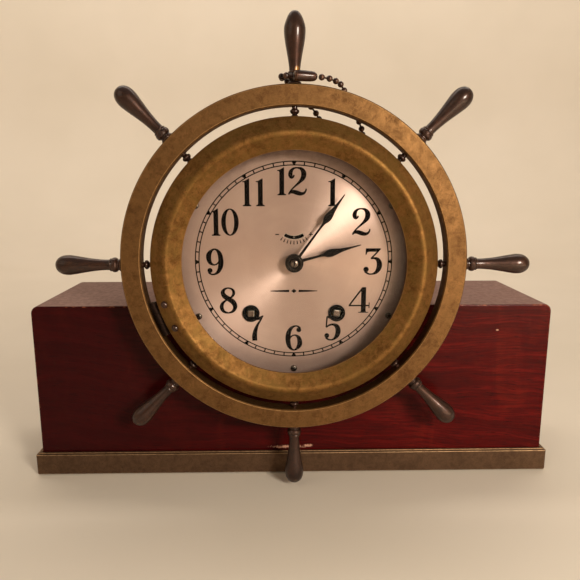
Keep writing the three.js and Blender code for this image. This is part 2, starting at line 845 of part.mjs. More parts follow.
// A shallow cup bell on the back plate's stud, and the hammer that strikes its rim from outside
function addStrike() {
  const bell = turnedRing(
    [
      [2.3, 41.6],
      [20, 41.6],
      [35, 40],
      [42.6, 37],
      [45.6, 34.2],
      [47, 34.5],
      [44, 38],
      [36, 41.5],
      [20, 43.2],
      [2.3, 43.2],
    ],
    28,
  );
  add(clock, "bell", bell, movementBrass);

  const headZ = 2;
  const arborRod = rod(1.2, FRONT_PLATE + PLATE_THICKNESS + GAP, 38, HAMMER_X, HAMMER_Z, 8);
  const head = new THREE.CylinderGeometry(3, 3, 7, 10).rotateZ(Math.PI / 2).translate(51.5, 36.5, headZ);
  const across = 51.5 - HAMMER_X;
  const down = HAMMER_Z - headZ;
  const arm = new THREE.BoxGeometry(2, 1.6, Math.hypot(across, down));
  arm.rotateY(-Math.atan2(across, down)).translate(HAMMER_X + across / 2, 36.5, headZ + down / 2);
  add(clock, "strike_hammer", join(arborRod, arm, head), brightSteel);
}

// ---------------------------------------------------------------- the key on its chain

const COUPLING_FROM = new THREE.Vector3(-0.8, -24.4, 94.7);
const COUPLING_TO = new THREE.Vector3(11, -22.2, 94.4);
const KEY_X = 25;
const KEY_Y = 56.5;
const KEY_HOLE = 3.2;
const KEY_HOLE_Z = 31.7;

// From the coupling's right end: over the rim, down behind the ring, back along the drum, a hanging
// loop through the key, forward again, up behind the ring and round the top handle's foot
const CHAIN_ROUTE = [
  [11.9, -22, 94.4],
  [14.9, -21, 94.1],
  [18.2, -19.3, 93.8],
  [21.2, -16.8, 93],
  [23.8, -13.7, 91.9],
  [25.7, -11.3, 89.5],
  [27.5, -10.4, 86],
  [29.6, -10.4, 81.8],
  [31.8, -10.1, 78],
  [34, -9.3, 74.2],
  [35.8, -7, 70.6],
  [36.9, -2.9, 67.6],
  [37.3, 2.4, 65.4],
  [37.2, 9, 64.5],
  [36.7, 18, 64.6],
  [36, 29, 64.9],
  [35.3, 38, 65.2],
  [34.8, 44.4, 65.6],
  [34.5, 48.6, 65],
  [34.2, 51.8, 62.2],
  [33.9, 52.9, 57.6],
  [33.5, 53.5, 51.6],
  [33.1, 54.4, 44.6],
  [32.6, 55.6, 38.6],
  [29.8, 56.4, 33.9],
  [KEY_X, KEY_Y, 32.1],
  [20.2, 56.4, 33.9],
  [17.4, 55.6, 38.6],
  [16.9, 54.4, 44.6],
  [16.7, 53.5, 51.6],
  [16.5, 53.1, 59],
  [16.4, 52.8, 65.4],
  [16.3, 51.2, 69.8],
  [16.2, 47.8, 72.3],
  [16.1, 42.6, 72.7],
  [16, 30, 72.5],
  [15.8, 18, 72.5],
  [15.4, 7, 72.7],
  [14.8, 0, 73.5],
  [13.5, -5.2, 75.4],
  [11.5, -8.7, 78.3],
  [8.7, -10.3, 81.5],
  [5.5, -10.7, 84.8],
  [2.4, -10.8, 88.1],
  [-0.7, -11, 91.4],
  [-3.8, -12.2, 93.8],
  [-6.1, -14.6, 94.8],
  [-6.9, -17.8, 94.9],
  [-6.2, -21, 94.8],
  [-4.4, -23.2, 94.7],
  [-1.7, -24.3, 94.7],
];
const CHAIN_STEPS = 64;

function addChain() {
  const route = new THREE.CatmullRomCurve3(CHAIN_ROUTE.map((point) => new THREE.Vector3(...point)));
  const section = new THREE.Shape();
  for (let i = 0; i < 8; i += 1) {
    const [x, y] = onCircle(CHAIN_DIAMETER / 2, i * 45);
    if (i === 0) section.moveTo(x, y);
    else section.lineTo(x, y);
  }
  const chain = new THREE.ExtrudeGeometry(section, { steps: CHAIN_STEPS, extrudePath: route });
  add(clock, "ball_chain", chain, bronze);

  const along = COUPLING_TO.clone().sub(COUPLING_FROM);
  const long = along.length();
  const coupling = turned(
    [
      [0, 0],
      [1.9, 0.3],
      [2.6, 1.4],
      [2.6, long - 1.4],
      [1.9, long - 0.3],
      [0, long],
    ],
    10,
  );
  const mesh = add(clock, "chain_coupling", coupling, bronze);
  mesh.position.copy(COUPLING_FROM);
  mesh.quaternion.setFromUnitVectors(new THREE.Vector3(0, 1, 0), along.normalize());
}

// A winding key hanging from its wing, its barrel bored square
function addKey() {
  const wing = new THREE.Shape();
  wing.moveTo(-3.2, -12);
  wing.lineTo(3.2, -12);
  wing.lineTo(8.9, -6);
  wing.lineTo(8.9, 1);
  wing.lineTo(5, 4.6);
  wing.lineTo(-5, 4.6);
  wing.lineTo(-8.9, 1);
  wing.lineTo(-8.9, -6);
  wing.holes.push(roundHole(0, 0, KEY_HOLE, 12));
  const thickness = 2.2;
  const wingPlate = plate(wing, -thickness / 2, thickness, 6).rotateZ(Math.PI / 2);
  const barrel = new THREE.CylinderGeometry(3.2, 3.2, 30, 14).rotateX(Math.PI / 2).translate(0, 0, -25);
  const half = WINDING_SQUARE / 2 + 0.15;
  const socket = block([-half, -half, -41], [half, half, -28]);
  const key = cut(join(wingPlate, barrel), socket);
  add(clock, "winding_key", key.translate(KEY_X, KEY_Y, KEY_HOLE_Z), agedBrass);
}

// ---------------------------------------------------------------- assembly

addBase();
addDrum();
addRing();
addSpokes();
addBezel();
addHinge();
addDial();
addHands();
addMotionWork();
addRegulator();
addPlates();
addBarrel("time", 1, 10);
addBarrel("strike", -1, 0);
addBalance();
addStrike();
addChain();
addKey();

const group = new THREE.Group();
group.add(base, clock);

export default group;
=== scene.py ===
"""The looks of a ship's-wheel mantel clock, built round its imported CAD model.

Pieces are drawn in millimetres in the clock's own axes: x to the right, y backwards from the block's
front face and z up from the dial's centre. Pieces of the base use z from the surface instead.
"""

import random
from math import acos, asin, cos, degrees, pi, radians, sin, sqrt, tan

import bmesh
import bpy
from mathutils import Matrix, Vector


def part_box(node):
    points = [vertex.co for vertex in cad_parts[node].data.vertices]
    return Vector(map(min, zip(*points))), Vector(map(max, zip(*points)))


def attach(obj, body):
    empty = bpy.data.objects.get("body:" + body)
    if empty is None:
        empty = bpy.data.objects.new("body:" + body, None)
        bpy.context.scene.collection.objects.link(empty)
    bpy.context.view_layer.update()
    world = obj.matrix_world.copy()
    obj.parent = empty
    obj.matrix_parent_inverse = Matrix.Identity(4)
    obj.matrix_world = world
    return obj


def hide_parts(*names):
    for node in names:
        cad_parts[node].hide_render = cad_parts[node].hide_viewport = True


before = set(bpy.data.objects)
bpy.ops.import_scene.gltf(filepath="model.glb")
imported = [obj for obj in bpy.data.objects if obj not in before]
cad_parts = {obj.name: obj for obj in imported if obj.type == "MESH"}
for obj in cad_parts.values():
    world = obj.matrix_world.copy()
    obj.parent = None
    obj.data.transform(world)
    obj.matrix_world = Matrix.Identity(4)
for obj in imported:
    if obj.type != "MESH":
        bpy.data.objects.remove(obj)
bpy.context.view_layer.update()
chance = random.Random(7)

# ---- the frame

MM = 0.001
ring_low, ring_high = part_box("wheel_ring")
block_low, block_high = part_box("base_block")
DIAL_Z = (ring_low.z + ring_high.z) / 2
CLOCK = Matrix.Translation((0, block_low.y, DIAL_Z)) @ Matrix.Scale(MM, 4)
BASE = Matrix.Translation((0, block_low.y, 0)) @ Matrix.Scale(MM, 4)

# ---- driving dimensions, mm

DRUM_RADIUS = 72
DRUM_WALL = 2.5
DRUM_FRONT = -20.6
DRUM_BACK = 47
LEDGE_RADIUS = 58.8
LEDGE_FRONT = -6.7
LEDGE_BACK = -3

RING_OUTER = 91.4
RING_INNER = 80.9
RING_FRONT = -22
RING_BACK = -13
WHEEL_Y = (RING_FRONT + RING_BACK) / 2
SPOKES = 8

BLOCK_DEPTH = 79

DIAL_FRONT = -8
DIAL_BACK = -7
DIAL_RADIUS = 69.1
PRINT_HEIGHT = 0.04
NUMERAL_RADIUS = 43.4
NUMERAL_SCALE = 1.05
PEN_SPREAD = 0.14  # how far the print stands past the drawn strokes
TRACK_OUTER = 54
TRACK_INNER = 52.05
TRACK_LINE = 0.58
SCREW_CIRCLE = 61.2
DIAL_SCREWS = 6
RULE_Z = -16.4  # the plain rule under the hands
WINDING_X = 23.9
WINDING_Z = -29

REGULATOR_Z = 22.7
REGULATOR_RADIUS = 9.4
REGULATOR_HALF_ANGLE = 33
SLOT_HALF = 0.95

MINUTE_ANGLE = 36
HOUR_ANGLE = 75
MINUTE_FRONT = -15.4
HOUR_FRONT = -12.6
HAND_THICKNESS = 0.8
HUB_RADIUS = 4.9

HINGE_ANGLE = 201.8
HINGE_RADIUS = 78
HINGE_Y = -20.3
HINGE_HALF = 9.5
CASE_KNUCKLE_HALF = 3
KNUCKLE_RADIUS = 1.7
RIVET_SPREAD = 5.5
RIVET_TILT = 37
RIVET_RADIUS = 71
RIVET_Y = -25.84

CHAIN_DIAMETER = 3.2
CHAIN_PITCH = 4.4
KEY_X, KEY_Y, KEY_Z = 25, 56.5, 31.7

# ---- camera, floor and light


def place_camera():
    """The photographer's place: in front, a little to the left, looking down at the dial."""
    pitch, yaw = radians(10.99), radians(1.24)
    data = bpy.data.cameras.new("camera")
    data.lens = 35.73
    data.sensor_width = 36
    data.clip_start = 0.01
    camera = bpy.data.objects.new("camera", data)
    bpy.context.scene.collection.objects.link(camera)
    camera.location = (-0.00896, -0.34715, 0.17388)
    ahead = Vector((sin(yaw) * cos(pitch), cos(yaw) * cos(pitch), -sin(pitch)))
    camera.rotation_mode = "QUATERNION"
    camera.rotation_quaternion = ahead.to_track_quat("-Z", "Y")
    bpy.context.scene.camera = camera


place_camera()

# ---- shader helpers


def srgb(red, green, blue, alpha=1):
    """A colour given in the usual 0-255 numbers, as the shader wants it."""

    def linear(value):
        value /= 255
        return value / 12.92 if value <= 0.04045 else ((value + 0.055) / 1.055) ** 2.4

    return (linear(red), linear(green), linear(blue), alpha)


class Shader:
    """The nodes of one material, made and wired by short calls. Patterns are in the clock's millimetres."""

    def __init__(self, name):
        self.material = bpy.data.materials.new(name)
        self.material.use_nodes = True
        self.tree = self.material.node_tree
        self.tree.nodes.clear()
        self.output = self.tree.nodes.new("ShaderNodeOutputMaterial")
        place = self.node("ShaderNodeTexCoord").outputs["Object"]
        centred = self.vector("SUBTRACT", place, tuple(CLOCK.translation))
        self.place = self.vector("SCALE", centred, scale=1 / MM)

    def put(self, socket, value):
        if isinstance(value, bpy.types.NodeSocket):
            self.tree.links.new(value, socket)
        else:
            socket.default_value = value

    def node(self, kind, inputs=None, **settings):
        made = self.tree.nodes.new(kind)
        for key, value in settings.items():
            setattr(made, key, value)
        for key, value in (inputs or {}).items():
            self.put(made.inputs[key], value)
        return made

    def vector(self, operation, first, second=None, scale=None):
        made = self.node("ShaderNodeVectorMath", operation=operation)
        self.put(made.inputs[0], first)
        if second is not None:
            self.put(made.inputs[1], second)
        if scale is not None:
            self.put(made.inputs["Scale"], scale)
        return made.outputs[0]

    def stretched(self, x, y, z):
        """Places whose patterns are drawn out along an axis by the inverse of its number."""
        return self.vector("MULTIPLY", self.place, (x, y, z))

    def maths(self, operation, first, second=0.0, clamp=False):
        made = self.node("ShaderNodeMath", operation=operation, use_clamp=clamp)
        self.put(made.inputs[0], first)
        self.put(made.inputs[1], second)
        return made.outputs[0]

    def times(self, first, second):
        return self.maths("MULTIPLY", first, second)

    def plus(self, first, second, clamp=False):
        return self.maths("ADD", first, second, clamp)

    def split(self, vector):
        parts = self.node("ShaderNodeSeparateXYZ", {"Vector": vector})
        return [parts.outputs[i] for i in range(3)]

    def worn(self):
        """1 on the edges that are rubbed."""
        return self.range(self.attribute("wear"), 0.2, 0.9)

    def noise(self, scale, detail=4.0, roughness=0.55, place=None, distortion=0.0):
        made = self.node("ShaderNodeTexNoise", {"Scale": scale, "Detail": detail, "Roughness": roughness})
        self.put(made.inputs["Distortion"], distortion)
        self.put(made.inputs["Vector"], self.place if place is None else place)
        return made.outputs["Fac"]

    def range(self, value, low, high, to_low=0.0, to_high=1.0):
        made = self.node("ShaderNodeMapRange", interpolation_type="SMOOTHSTEP")
        for key, number in (("Value", value), ("From Min", low), ("From Max", high)):
            self.put(made.inputs[key], number)
        self.put(made.inputs["To Min"], to_low)
        self.put(made.inputs["To Max"], to_high)
        return made.outputs["Result"]

    def mix(self, share, first, second):
        made = self.node("ShaderNodeMix", data_type="RGBA")
        self.put(made.inputs[0], share)
        self.put(made.inputs[6], first)
        self.put(made.inputs[7], second)
        return made.outputs[2]

    def ramp(self, value, stops):
        made = self.node("ShaderNodeValToRGB", {"Fac": value})
        elements = made.color_ramp.elements
        while len(elements) < len(stops):
            elements.new(0.5)
        for element, (position, colour) in zip(elements, stops):
            element.position = position
            element.color = colour
        return made.outputs["Color"]

    def attribute(self, name):
        return self.node("ShaderNodeAttribute", attribute_name=name).outputs["Fac"]

    def bump(self, height, strength, distance):
        inputs = {"Strength": strength, "Distance": distance * MM, "Height": height}
        return self.node("ShaderNodeBump", inputs).outputs["Normal"]

    def surface(self, **inputs):
        """Ends the material in one Principled shader; its inputs' names are written with underscores."""
        named = {key.replace("_", " "): value for key, value in inputs.items()}
        made = self.node("ShaderNodeBsdfPrincipled", named)
        self.tree.links.new(made.outputs[0], self.output.inputs["Surface"])
        return self.material

    def polar(self, turns):
        """(radius, y, angle) about the dial's axis, the angle scaled by turns."""
        x, y, z = self.split(self.place)
        radius = self.maths("SQRT", self.plus(self.times(x, x), self.times(z, z)))
        angle = self.times(self.maths("ARCTAN2", z, x), turns)
        return self.node("ShaderNodeCombineXYZ", {"X": radius, "Y": y, "Z": angle}).outputs[0]


# ---- materials


def worn_metal(
    name, dark, light, speck, rub, roughness, turned=True, gloss=0.0, metallic=0.9, tint=None, bare=None
):
    """Aged metal: cloudy patina, dark specks, fine turning marks, rubbed edges and grimy corners.

    A tint colours broad patches; bare is a spot rubbed through: its place, reach and colour.
    """
    s = Shader(name)
    clouds = s.noise(0.055, 4, 0.6, distortion=0.4)
    mottle = s.noise(0.3, 5, 0.6, distortion=0.5)
    fine = s.noise(1.8, 3, 0.65)
    tone = s.plus(s.times(clouds, 0.3), s.times(mottle, 0.45))
    tone = s.plus(tone, s.times(fine, 0.25))
    colour = s.ramp(tone, [(0.4, dark), (0.6, light)])
    if tint:
        hue = s.range(s.noise(0.14, 5, 0.65, distortion=0.6), 0.42, 0.6, 0, 0.55)
        colour = s.mix(hue, colour, tint)
    stretch = s.vector("MULTIPLY", s.polar(2.0), (5.0, 5.0, 1.0)) if turned else s.stretched(0.4, 6, 6)
    marks = s.noise(1, 3, 0.6, stretch)
    colour = s.mix(s.range(marks, 0.35, 0.75, 0, 0.2), colour, light)
    pits = s.range(s.noise(1.1, 3, 0.6), 0.65, 0.72)
    stains = s.range(s.noise(0.3, 5, 0.75, distortion=0.8), 0.56, 0.7)
    dirt = s.plus(s.times(pits, 0.65), s.times(stains, 0.16), clamp=True)
    colour = s.mix(dirt, colour, speck)
    wear = s.attribute("wear")
    scuffs = s.range(s.noise(0.55, 5, 0.7), 0.3, 0.6)
    rubbed = s.times(s.range(wear, 0.2, 0.9), s.plus(s.times(scuffs, 0.7), 0.3))
    colour = s.mix(rubbed, colour, rub)
    grimy = s.times(s.range(s.times(wear, -1), 0.2, 0.9), 0.8)
    colour = s.mix(grimy, colour, speck)
    if bare:
        spot, reach, metal = bare
        apart = s.vector("SUBTRACT", s.place, spot)
        far = s.node("ShaderNodeVectorMath", {0: apart}, operation="LENGTH").outputs["Value"]
        far = s.plus(far, s.times(s.noise(0.6, 4, 0.7), 2))
        colour = s.mix(s.range(far, reach + 1.6, reach - 0.4), colour, metal)
    rough = s.range(tone, 0.35, 0.65, roughness + 0.1, roughness - 0.04)
    rough = s.plus(rough, s.times(dirt, 0.2), clamp=True)
    height = s.plus(s.times(marks, 0.25), s.times(fine, 0.5))
    height = s.maths("SUBTRACT", height, s.times(pits, 0.6))
    normal = s.bump(height, 0.5, 0.12)
    return s.surface(
        Base_Color=colour, Metallic=metallic, Roughness=rough, Normal=normal, Specular_IOR_Level=0.25,
        Coat_Weight=gloss, Coat_Roughness=0.15,
    )


def silvered():
    """The dial: silver rubbed in circles about its centre, under old lacquer; its rim is darkened by some
    tarnish and by painted shade of the bezel, darkest at the top and right.
    """
    s = Shader("silvered_dial")
    rings = s.noise(1, 4, 0.65, s.vector("MULTIPLY", s.polar(1.2), (7.0, 1.0, 1.0)))
    broad = s.noise(0.035, 4, 0.5)
    colour = s.ramp(broad, [(0.3, srgb(188, 158, 147)), (0.7, srgb(206, 177, 166))])
    colour = s.mix(s.range(rings, 0.3, 0.7, 0, 0.35), colour, srgb(168, 142, 134))
    radius = s.split(s.polar(1.0))[0]
    # darker towards the rim: partly tarnish, partly painted shade of the bezel's lip
    edge = s.range(s.plus(radius, s.times(s.noise(0.3, 4), 6)), 56, 66)
    x, _, z = s.split(s.place)
    # the rim darkening grows towards the upper right, where it is painted shade cast by the bezel
    toward_painted_shade = s.plus(x, z)
    edge = s.times(edge, s.range(toward_painted_shade, -40, 60, 0.2, 0.9))
    colour = s.mix(edge, colour, srgb(112, 84, 78))
    foxing = s.range(s.noise(0.75, 3, 0.5), 0.69, 0.76)
    colour = s.mix(s.times(foxing, 0.4), colour, srgb(128, 98, 72))
    colour = s.mix(s.worn(), colour, srgb(235, 222, 205))
    rough = s.range(s.noise(0.5, 5, 0.7), 0.3, 0.7, 0.31, 0.39)
    tangent = s.vector("NORMALIZE", s.stretched(1, 0, 1))
    normal = s.bump(rings, 0.14, 0.05)
    return s.surface(
        Base_Color=colour, Metallic=0.6, Roughness=rough, Anisotropic=0.85, Tangent=tangent,
        Normal=normal, Coat_Weight=0.12, Coat_Roughness=0.3,
    )


# White scars in the block's front: place, half width, half height and raggedness
SCARS = (((118.7, -41.6), 1.5, 0.8, 0.4), ((-3, -113.2), 16, 1.6, 2.4), ((9, -112.6), 5, 1.5, 1.6))


def mahogany():
    """Dark red mahogany under a worn gloss, its grain along the block and its left side darkened by painted
    shade; dust lies on what faces up.
    """
    s = Shader("mahogany")
    warp = s.noise(0.018, 3, 0.5, s.stretched(0.5, 1, 1))
    x, y, z = s.split(s.place)
    along = s.times(x, 0.055)
    climb = s.plus(z, s.plus(s.times(x, 0.06), s.times(warp, 26)))
    tilted = s.node("ShaderNodeCombineXYZ", {"X": along, "Y": y, "Z": climb}).outputs[0]
    broad = s.noise(0.16, 5, 0.6, tilted, 0.4)
    fibres = s.noise(0.85, 5, 0.7, tilted)
    ribbon = s.noise(0.05, 3, 0.5, s.stretched(1.0, 1.0, 0.35), 1.5)
    colour = s.ramp(
        broad,
        [(0.3, srgb(54, 6, 5)), (0.5, srgb(76, 9, 8)), (0.64, srgb(91, 14, 12)), (0.8, srgb(108, 24, 18))],
    )
    colour = s.mix(s.range(ribbon, 0.52, 0.74, 0, 0.16), colour, srgb(126, 36, 22))
    # painted shade: the block darkens towards its left side
    left_painted_shade = s.range(s.plus(x, s.times(warp, 60)), -95, 130, 0.78, 0.0)
    colour = s.mix(left_painted_shade, colour, srgb(36, 5, 6))
    colour = s.mix(s.range(fibres, 0.42, 0.62, 0, 0.55), colour, srgb(40, 4, 5))
    pores = s.range(s.noise(1.9, 3, 0.6, tilted), 0.57, 0.66)
    colour = s.mix(s.times(pores, 0.75), colour, srgb(22, 4, 5))
    for (nick_x, nick_z), wide, high, ragged in SCARS:
        across = s.maths("DIVIDE", s.maths("SUBTRACT", x, nick_x), wide)
        along = s.maths("DIVIDE", s.maths("SUBTRACT", z, nick_z), high)
        far = s.plus(s.times(across, across), s.times(along, along))
        far = s.plus(far, s.times(s.noise(0.9, 4, 0.7), ragged))
        near = s.range(far, ragged / 2 + 0.5, ragged / 2)
        colour = s.mix(s.times(near, s.range(y, 2, 4, 0.85, 0)), colour, srgb(196, 150, 128))
    chipped = s.times(s.worn(), s.range(s.noise(0.16, 5, 0.75), 0.5, 0.66))
    colour = s.mix(s.times(chipped, 0.7), colour, srgb(150, 84, 58))
    facing = s.node("ShaderNodeNewGeometry").outputs["Normal"]
    upward = s.split(facing)[2]
    dust = s.times(s.range(upward, 0.7, 0.98), s.range(s.noise(0.35, 6, 0.7), 0.25, 0.7, 0.5, 0.95))
    colour = s.mix(dust, colour, srgb(152, 124, 114))
    rough = s.plus(s.range(fibres, 0.3, 0.7, 0.3, 0.42), s.times(dust, 0.45), clamp=True)
    height = s.maths("SUBTRACT", s.times(fibres, 0.5), pores)
    normal = s.bump(height, 0.35, 0.12)
    wavy = s.bump(s.noise(0.06, 2, 0.4), 0.3, 0.8)
    return s.surface(
        Base_Color=colour, Roughness=rough, Specular_IOR_Level=0.03, Normal=normal,
        Coat_Weight=s.maths("SUBTRACT", 0.13, dust, clamp=True),
        Coat_Roughness=s.range(s.noise(0.2, 5, 0.7), 0.3, 0.7, 0.1, 0.24), Coat_Normal=wavy,
    )


def cloth():
    """Short-napped felt."""
    s = Shader("felt")
    nap = s.noise(3.5, 4, 0.7)
    fibres = s.noise(1, 4, 0.8, s.stretched(0.8, 5, 5), 2.0)
    colour = s.ramp(nap, [(0.3, srgb(14, 26, 19)), (0.7, srgb(38, 58, 44))])
    colour = s.mix(s.range(fibres, 0.55, 0.75, 0, 0.5), colour, srgb(66, 84, 68))
    height = s.plus(nap, fibres)
    return s.surface(
        Base_Color=colour, Roughness=0.95, Sheen_Weight=0.35, Sheen_Roughness=0.5,
        Normal=s.bump(height, 0.8, 0.3),
    )


def steel(name, dark, light, roughness):
    """Drawn or turned steel, with a little tarnish."""
    s = Shader(name)
    lines = s.noise(1, 4, 0.6, s.vector("MULTIPLY", s.polar(1.5), (8.0, 8.0, 1.0)))
    clouds = s.noise(0.35, 5, 0.65)
    colour = s.ramp(clouds, [(0.32, dark), (0.68, light)])
    rust = s.range(s.noise(1.3, 4, 0.6), 0.64, 0.74)
    colour = s.mix(s.times(rust, 0.6), colour, srgb(70, 42, 26))
    colour = s.mix(s.times(s.worn(), 0.6), colour, srgb(190, 182, 170))
    rough = s.range(lines, 0.3, 0.7, roughness - 0.05, roughness + 0.08)
    return s.surface(Base_Color=colour, Metallic=1.0, Roughness=rough, Normal=s.bump(lines, 0.25, 0.05))


def blackened():
    """The hands: blue-black steel, gone a little brown."""
    s = Shader("black_steel")
    clouds = s.noise(0.6, 5, 0.6)
    colour = s.ramp(clouds, [(0.3, srgb(14, 12, 12)), (0.7, srgb(30, 25, 24))])
    # lighter edges: partly real wear, made strong enough to be a painted highlight on the collet's rings
    # and the hands' edges
    colour = s.mix(s.times(s.worn(), 0.85), colour, srgb(104, 90, 80))
    rough = s.range(s.noise(1.5, 4, 0.6), 0.3, 0.7, 0.34, 0.48)
    return s.surface(
        Base_Color=colour, Metallic=0.6, Roughness=rough, Specular_IOR_Level=0.15,
        Normal=s.bump(s.noise(2.5, 3), 0.15, 0.05),
    )


def printed():
    """Black enamel print, a little thin in places."""
    s = Shader("dial_ink")
    thin = s.noise(1.4, 5, 0.7)
    colour = s.ramp(thin, [(0.35, srgb(6, 5, 5)), (0.72, srgb(24, 18, 16))])
    rough = s.range(thin, 0.3, 0.7, 0.5, 0.65)
    return s.surface(
        Base_Color=colour, Roughness=rough, Specular_IOR_Level=0.02, Normal=s.bump(thin, 0.2, 0.03),
    )


def bush_plastic():
    """Moulded black bushes."""
    s = Shader("black_bush")
    fine = s.noise(2.2, 4, 0.6)
    colour = s.ramp(fine, [(0.3, srgb(8, 7, 7)), (0.7, srgb(20, 17, 16))])
    return s.surface(
        Base_Color=colour, Specular_IOR_Level=0.06, Roughness=s.range(fine, 0.3, 0.7, 0.3, 0.45),
        Normal=s.bump(fine, 0.2, 0.06),
    )


def clear_glass():
    """Thin old glass: clear, with a faint film that shows at a slant."""
    s = Shader("clear_glass")
    film = s.noise(0.05, 5, 0.7, distortion=1.0)
    clear = s.node("ShaderNodeBsdfTransparent", {"Color": (0.985, 0.99, 0.98, 1)})
    rough = s.range(film, 0.3, 0.75, 0.02, 0.12)
    shine = s.node("ShaderNodeBsdfGlossy", {"Color": (1, 1, 1, 1), "Roughness": rough})
    facing = s.node("ShaderNodeFresnel", {"IOR": 1.45}).outputs[0]
    share = s.times(facing, 0.15)
    mixed = s.node("ShaderNodeMixShader", {0: share})
    s.tree.links.new(clear.outputs[0], mixed.inputs[1])
    s.tree.links.new(shine.outputs[0], mixed.inputs[2])
    s.tree.links.new(mixed.outputs[0], s.output.inputs["Surface"])
    return s.material


def studio_paint():
    """The plain pale floor."""
    s = Shader("studio_paint")
    tone = s.ramp(s.noise(0.004, 3), [(0.3, srgb(214, 204, 188)), (0.7, srgb(220, 210, 195))])
    return s.surface(Base_Color=tone, Roughness=0.8)


AGED_BRASS = worn_metal(
    "aged_brass", srgb(84, 57, 31), srgb(124, 90, 54), srgb(56, 38, 22), srgb(156, 120, 78), 0.5,
    tint=srgb(110, 80, 47),
)
DOOR_BRASS = worn_metal(
    "door_brass", srgb(90, 60, 27), srgb(138, 99, 54), srgb(58, 38, 18), srgb(172, 132, 80), 0.54,
    tint=srgb(114, 88, 44),
)
DARK_BRONZE = worn_metal(
    "dark_bronze", srgb(38, 25, 20), srgb(66, 41, 31), srgb(24, 16, 13), srgb(98, 66, 46), 0.38,
    turned=False, gloss=0.5, metallic=0.65, bare=((1.6, -20.3, 98.0), 1.9, srgb(150, 104, 54)),
)
# a darker copy of the dark bronze for the hinge leaves and pin: painted shade, as the hinge sits in shadow
PAINTED_SHADE_BRONZE = worn_metal(
    "painted_shade_bronze", srgb(24, 16, 13), srgb(40, 28, 22), srgb(14, 10, 8), srgb(58, 42, 32), 0.55,
    turned=False,
)
MOVEMENT_BRASS = worn_metal(
    "movement_brass", srgb(168, 130, 66), srgb(208, 170, 98), srgb(104, 74, 34), srgb(228, 198, 134), 0.3
)
BASE_METAL = worn_metal(
    "base_metal", srgb(82, 62, 47), srgb(108, 84, 65), srgb(38, 27, 19), srgb(168, 138, 104), 0.46,
    turned=False,
)
SILVERED = silvered()
MAHOGANY = mahogany()
FELT = cloth()
STEEL = steel("steel", srgb(88, 74, 67), srgb(136, 118, 108), 0.34)
DARK_STEEL = steel("dark_steel", srgb(60, 52, 48), srgb(98, 88, 80), 0.34)
BLACK_STEEL = blackened()
INK = printed()
BUSH = bush_plastic()
GLASS = clear_glass()

# ---- mesh helpers


def linked(name, data):
    """A new object of the scene with this data."""
    made = bpy.data.objects.new(name, data)
    bpy.context.scene.collection.objects.link(made)
    return made


def new_mesh():
    """An empty mesh whose corners carry wear: +1 on rubbed edges, -1 in grimy ones."""
    bm = bmesh.new()
    bm.loops.layers.float.new("wear")
    return bm


NEARLY_STRAIGHT = radians(168)


def filleted(points, radius, closed, segments=3):
    """The outline with its corners rounded. Returns its points and each side's wear."""
    count = len(points)
    points = [Vector(p) for p in points]
    area = sum(points[i - 1].cross(points[i]) for i in range(count))
    outline, wear = [], []
    for i, corner in enumerate(points):
        if not closed and i in (0, count - 1):
            outline.append(corner)
            wear.append(0)
            continue
        back = points[i - 1] - corner
        ahead = points[(i + 1) % count] - corner
        bend = back.angle(ahead)
        if bend > NEARLY_STRAIGHT:
            outline.append(corner)
            wear.append(0)
            continue
        cut = min(radius / tan(bend / 2), 0.45 * back.length, 0.45 * ahead.length)
        start = corner + back.normalized() * cut
        end = corner + ahead.normalized() * cut
        convex = (-back).cross(ahead) * area > 0
        for step in range(segments + 1):
            t = step / segments
            outline.append(start * (1 - t) ** 2 + corner * 2 * t * (1 - t) + end * t * t)
            wear.append(0 if step == segments else (1 if convex else -1))
    return outline, wear


def spin(bm, outline, wear, matrix, steps, closed):
    """Adds the (radius, along) outline turned about the matrix's Z axis."""
    layer = bm.loops.layers.float["wear"]
    rings = []
    for radius, along in outline:
        if radius < 1e-5:
            rings.append([bm.verts.new(matrix @ Vector((0, 0, along)))])
            continue
        ring = []
        for step in range(steps):
            angle = 2 * pi * step / steps
            spot = Vector((radius * cos(angle), radius * sin(angle), along))
            ring.append(bm.verts.new(matrix @ spot))
        rings.append(ring)
    pairs = list(zip(rings, rings[1:], wear))
    if closed:
        pairs.append((rings[-1], rings[0], wear[-1]))
    for low, high, rub in pairs:
        for step in range(steps):
            after = (step + 1) % steps
            corners = [low[step % len(low)], low[after % len(low)]]
            corners += [high[after % len(high)], high[step % len(high)]]
            corners = list(dict.fromkeys(corners))
            if len(corners) < 3:
                continue
            face = bm.faces.new(corners)
            for loop in face.loops:
                loop[layer] = rub


ABOUT_Y = Matrix.Rotation(radians(90), 4, "X")  # turns +Z to -Y, so "along" is -y
UPRIGHT = Matrix.Identity(4)


def turned(bm, profile, radius, steps=192, x=0, z=0, matrix=None, segments=3):
    """Adds a body of revolution about the clock's Y axis, or about the matrix's Z, from (radius, y) pairs.

    The profile closes on itself unless it starts, and so ends, on the axis.
    """
    closed = profile[0][0] > 0
    outline, wear = filleted(profile, radius, closed, segments)
    if matrix is None:
        matrix = Matrix.Translation((x, 0, z)) @ ABOUT_Y
        outline = [(r, -along) for r, along in outline]
    spin(bm, outline, wear, matrix, steps, closed)


def curve_points(knots, per_span=6):
    """A smooth line through (a, b) knots."""
    knots = [Vector(k) for k in knots]
    padded = [knots[0] * 2 - knots[1], *knots, knots[-1] * 2 - knots[-2]]
    line = []
    for before, start, end, after in zip(padded, padded[1:], padded[2:], padded[3:]):
        for step in range(per_span):
            line.append(between(before, start, end, after, step / per_span))
    line.append(knots[-1])
    return line


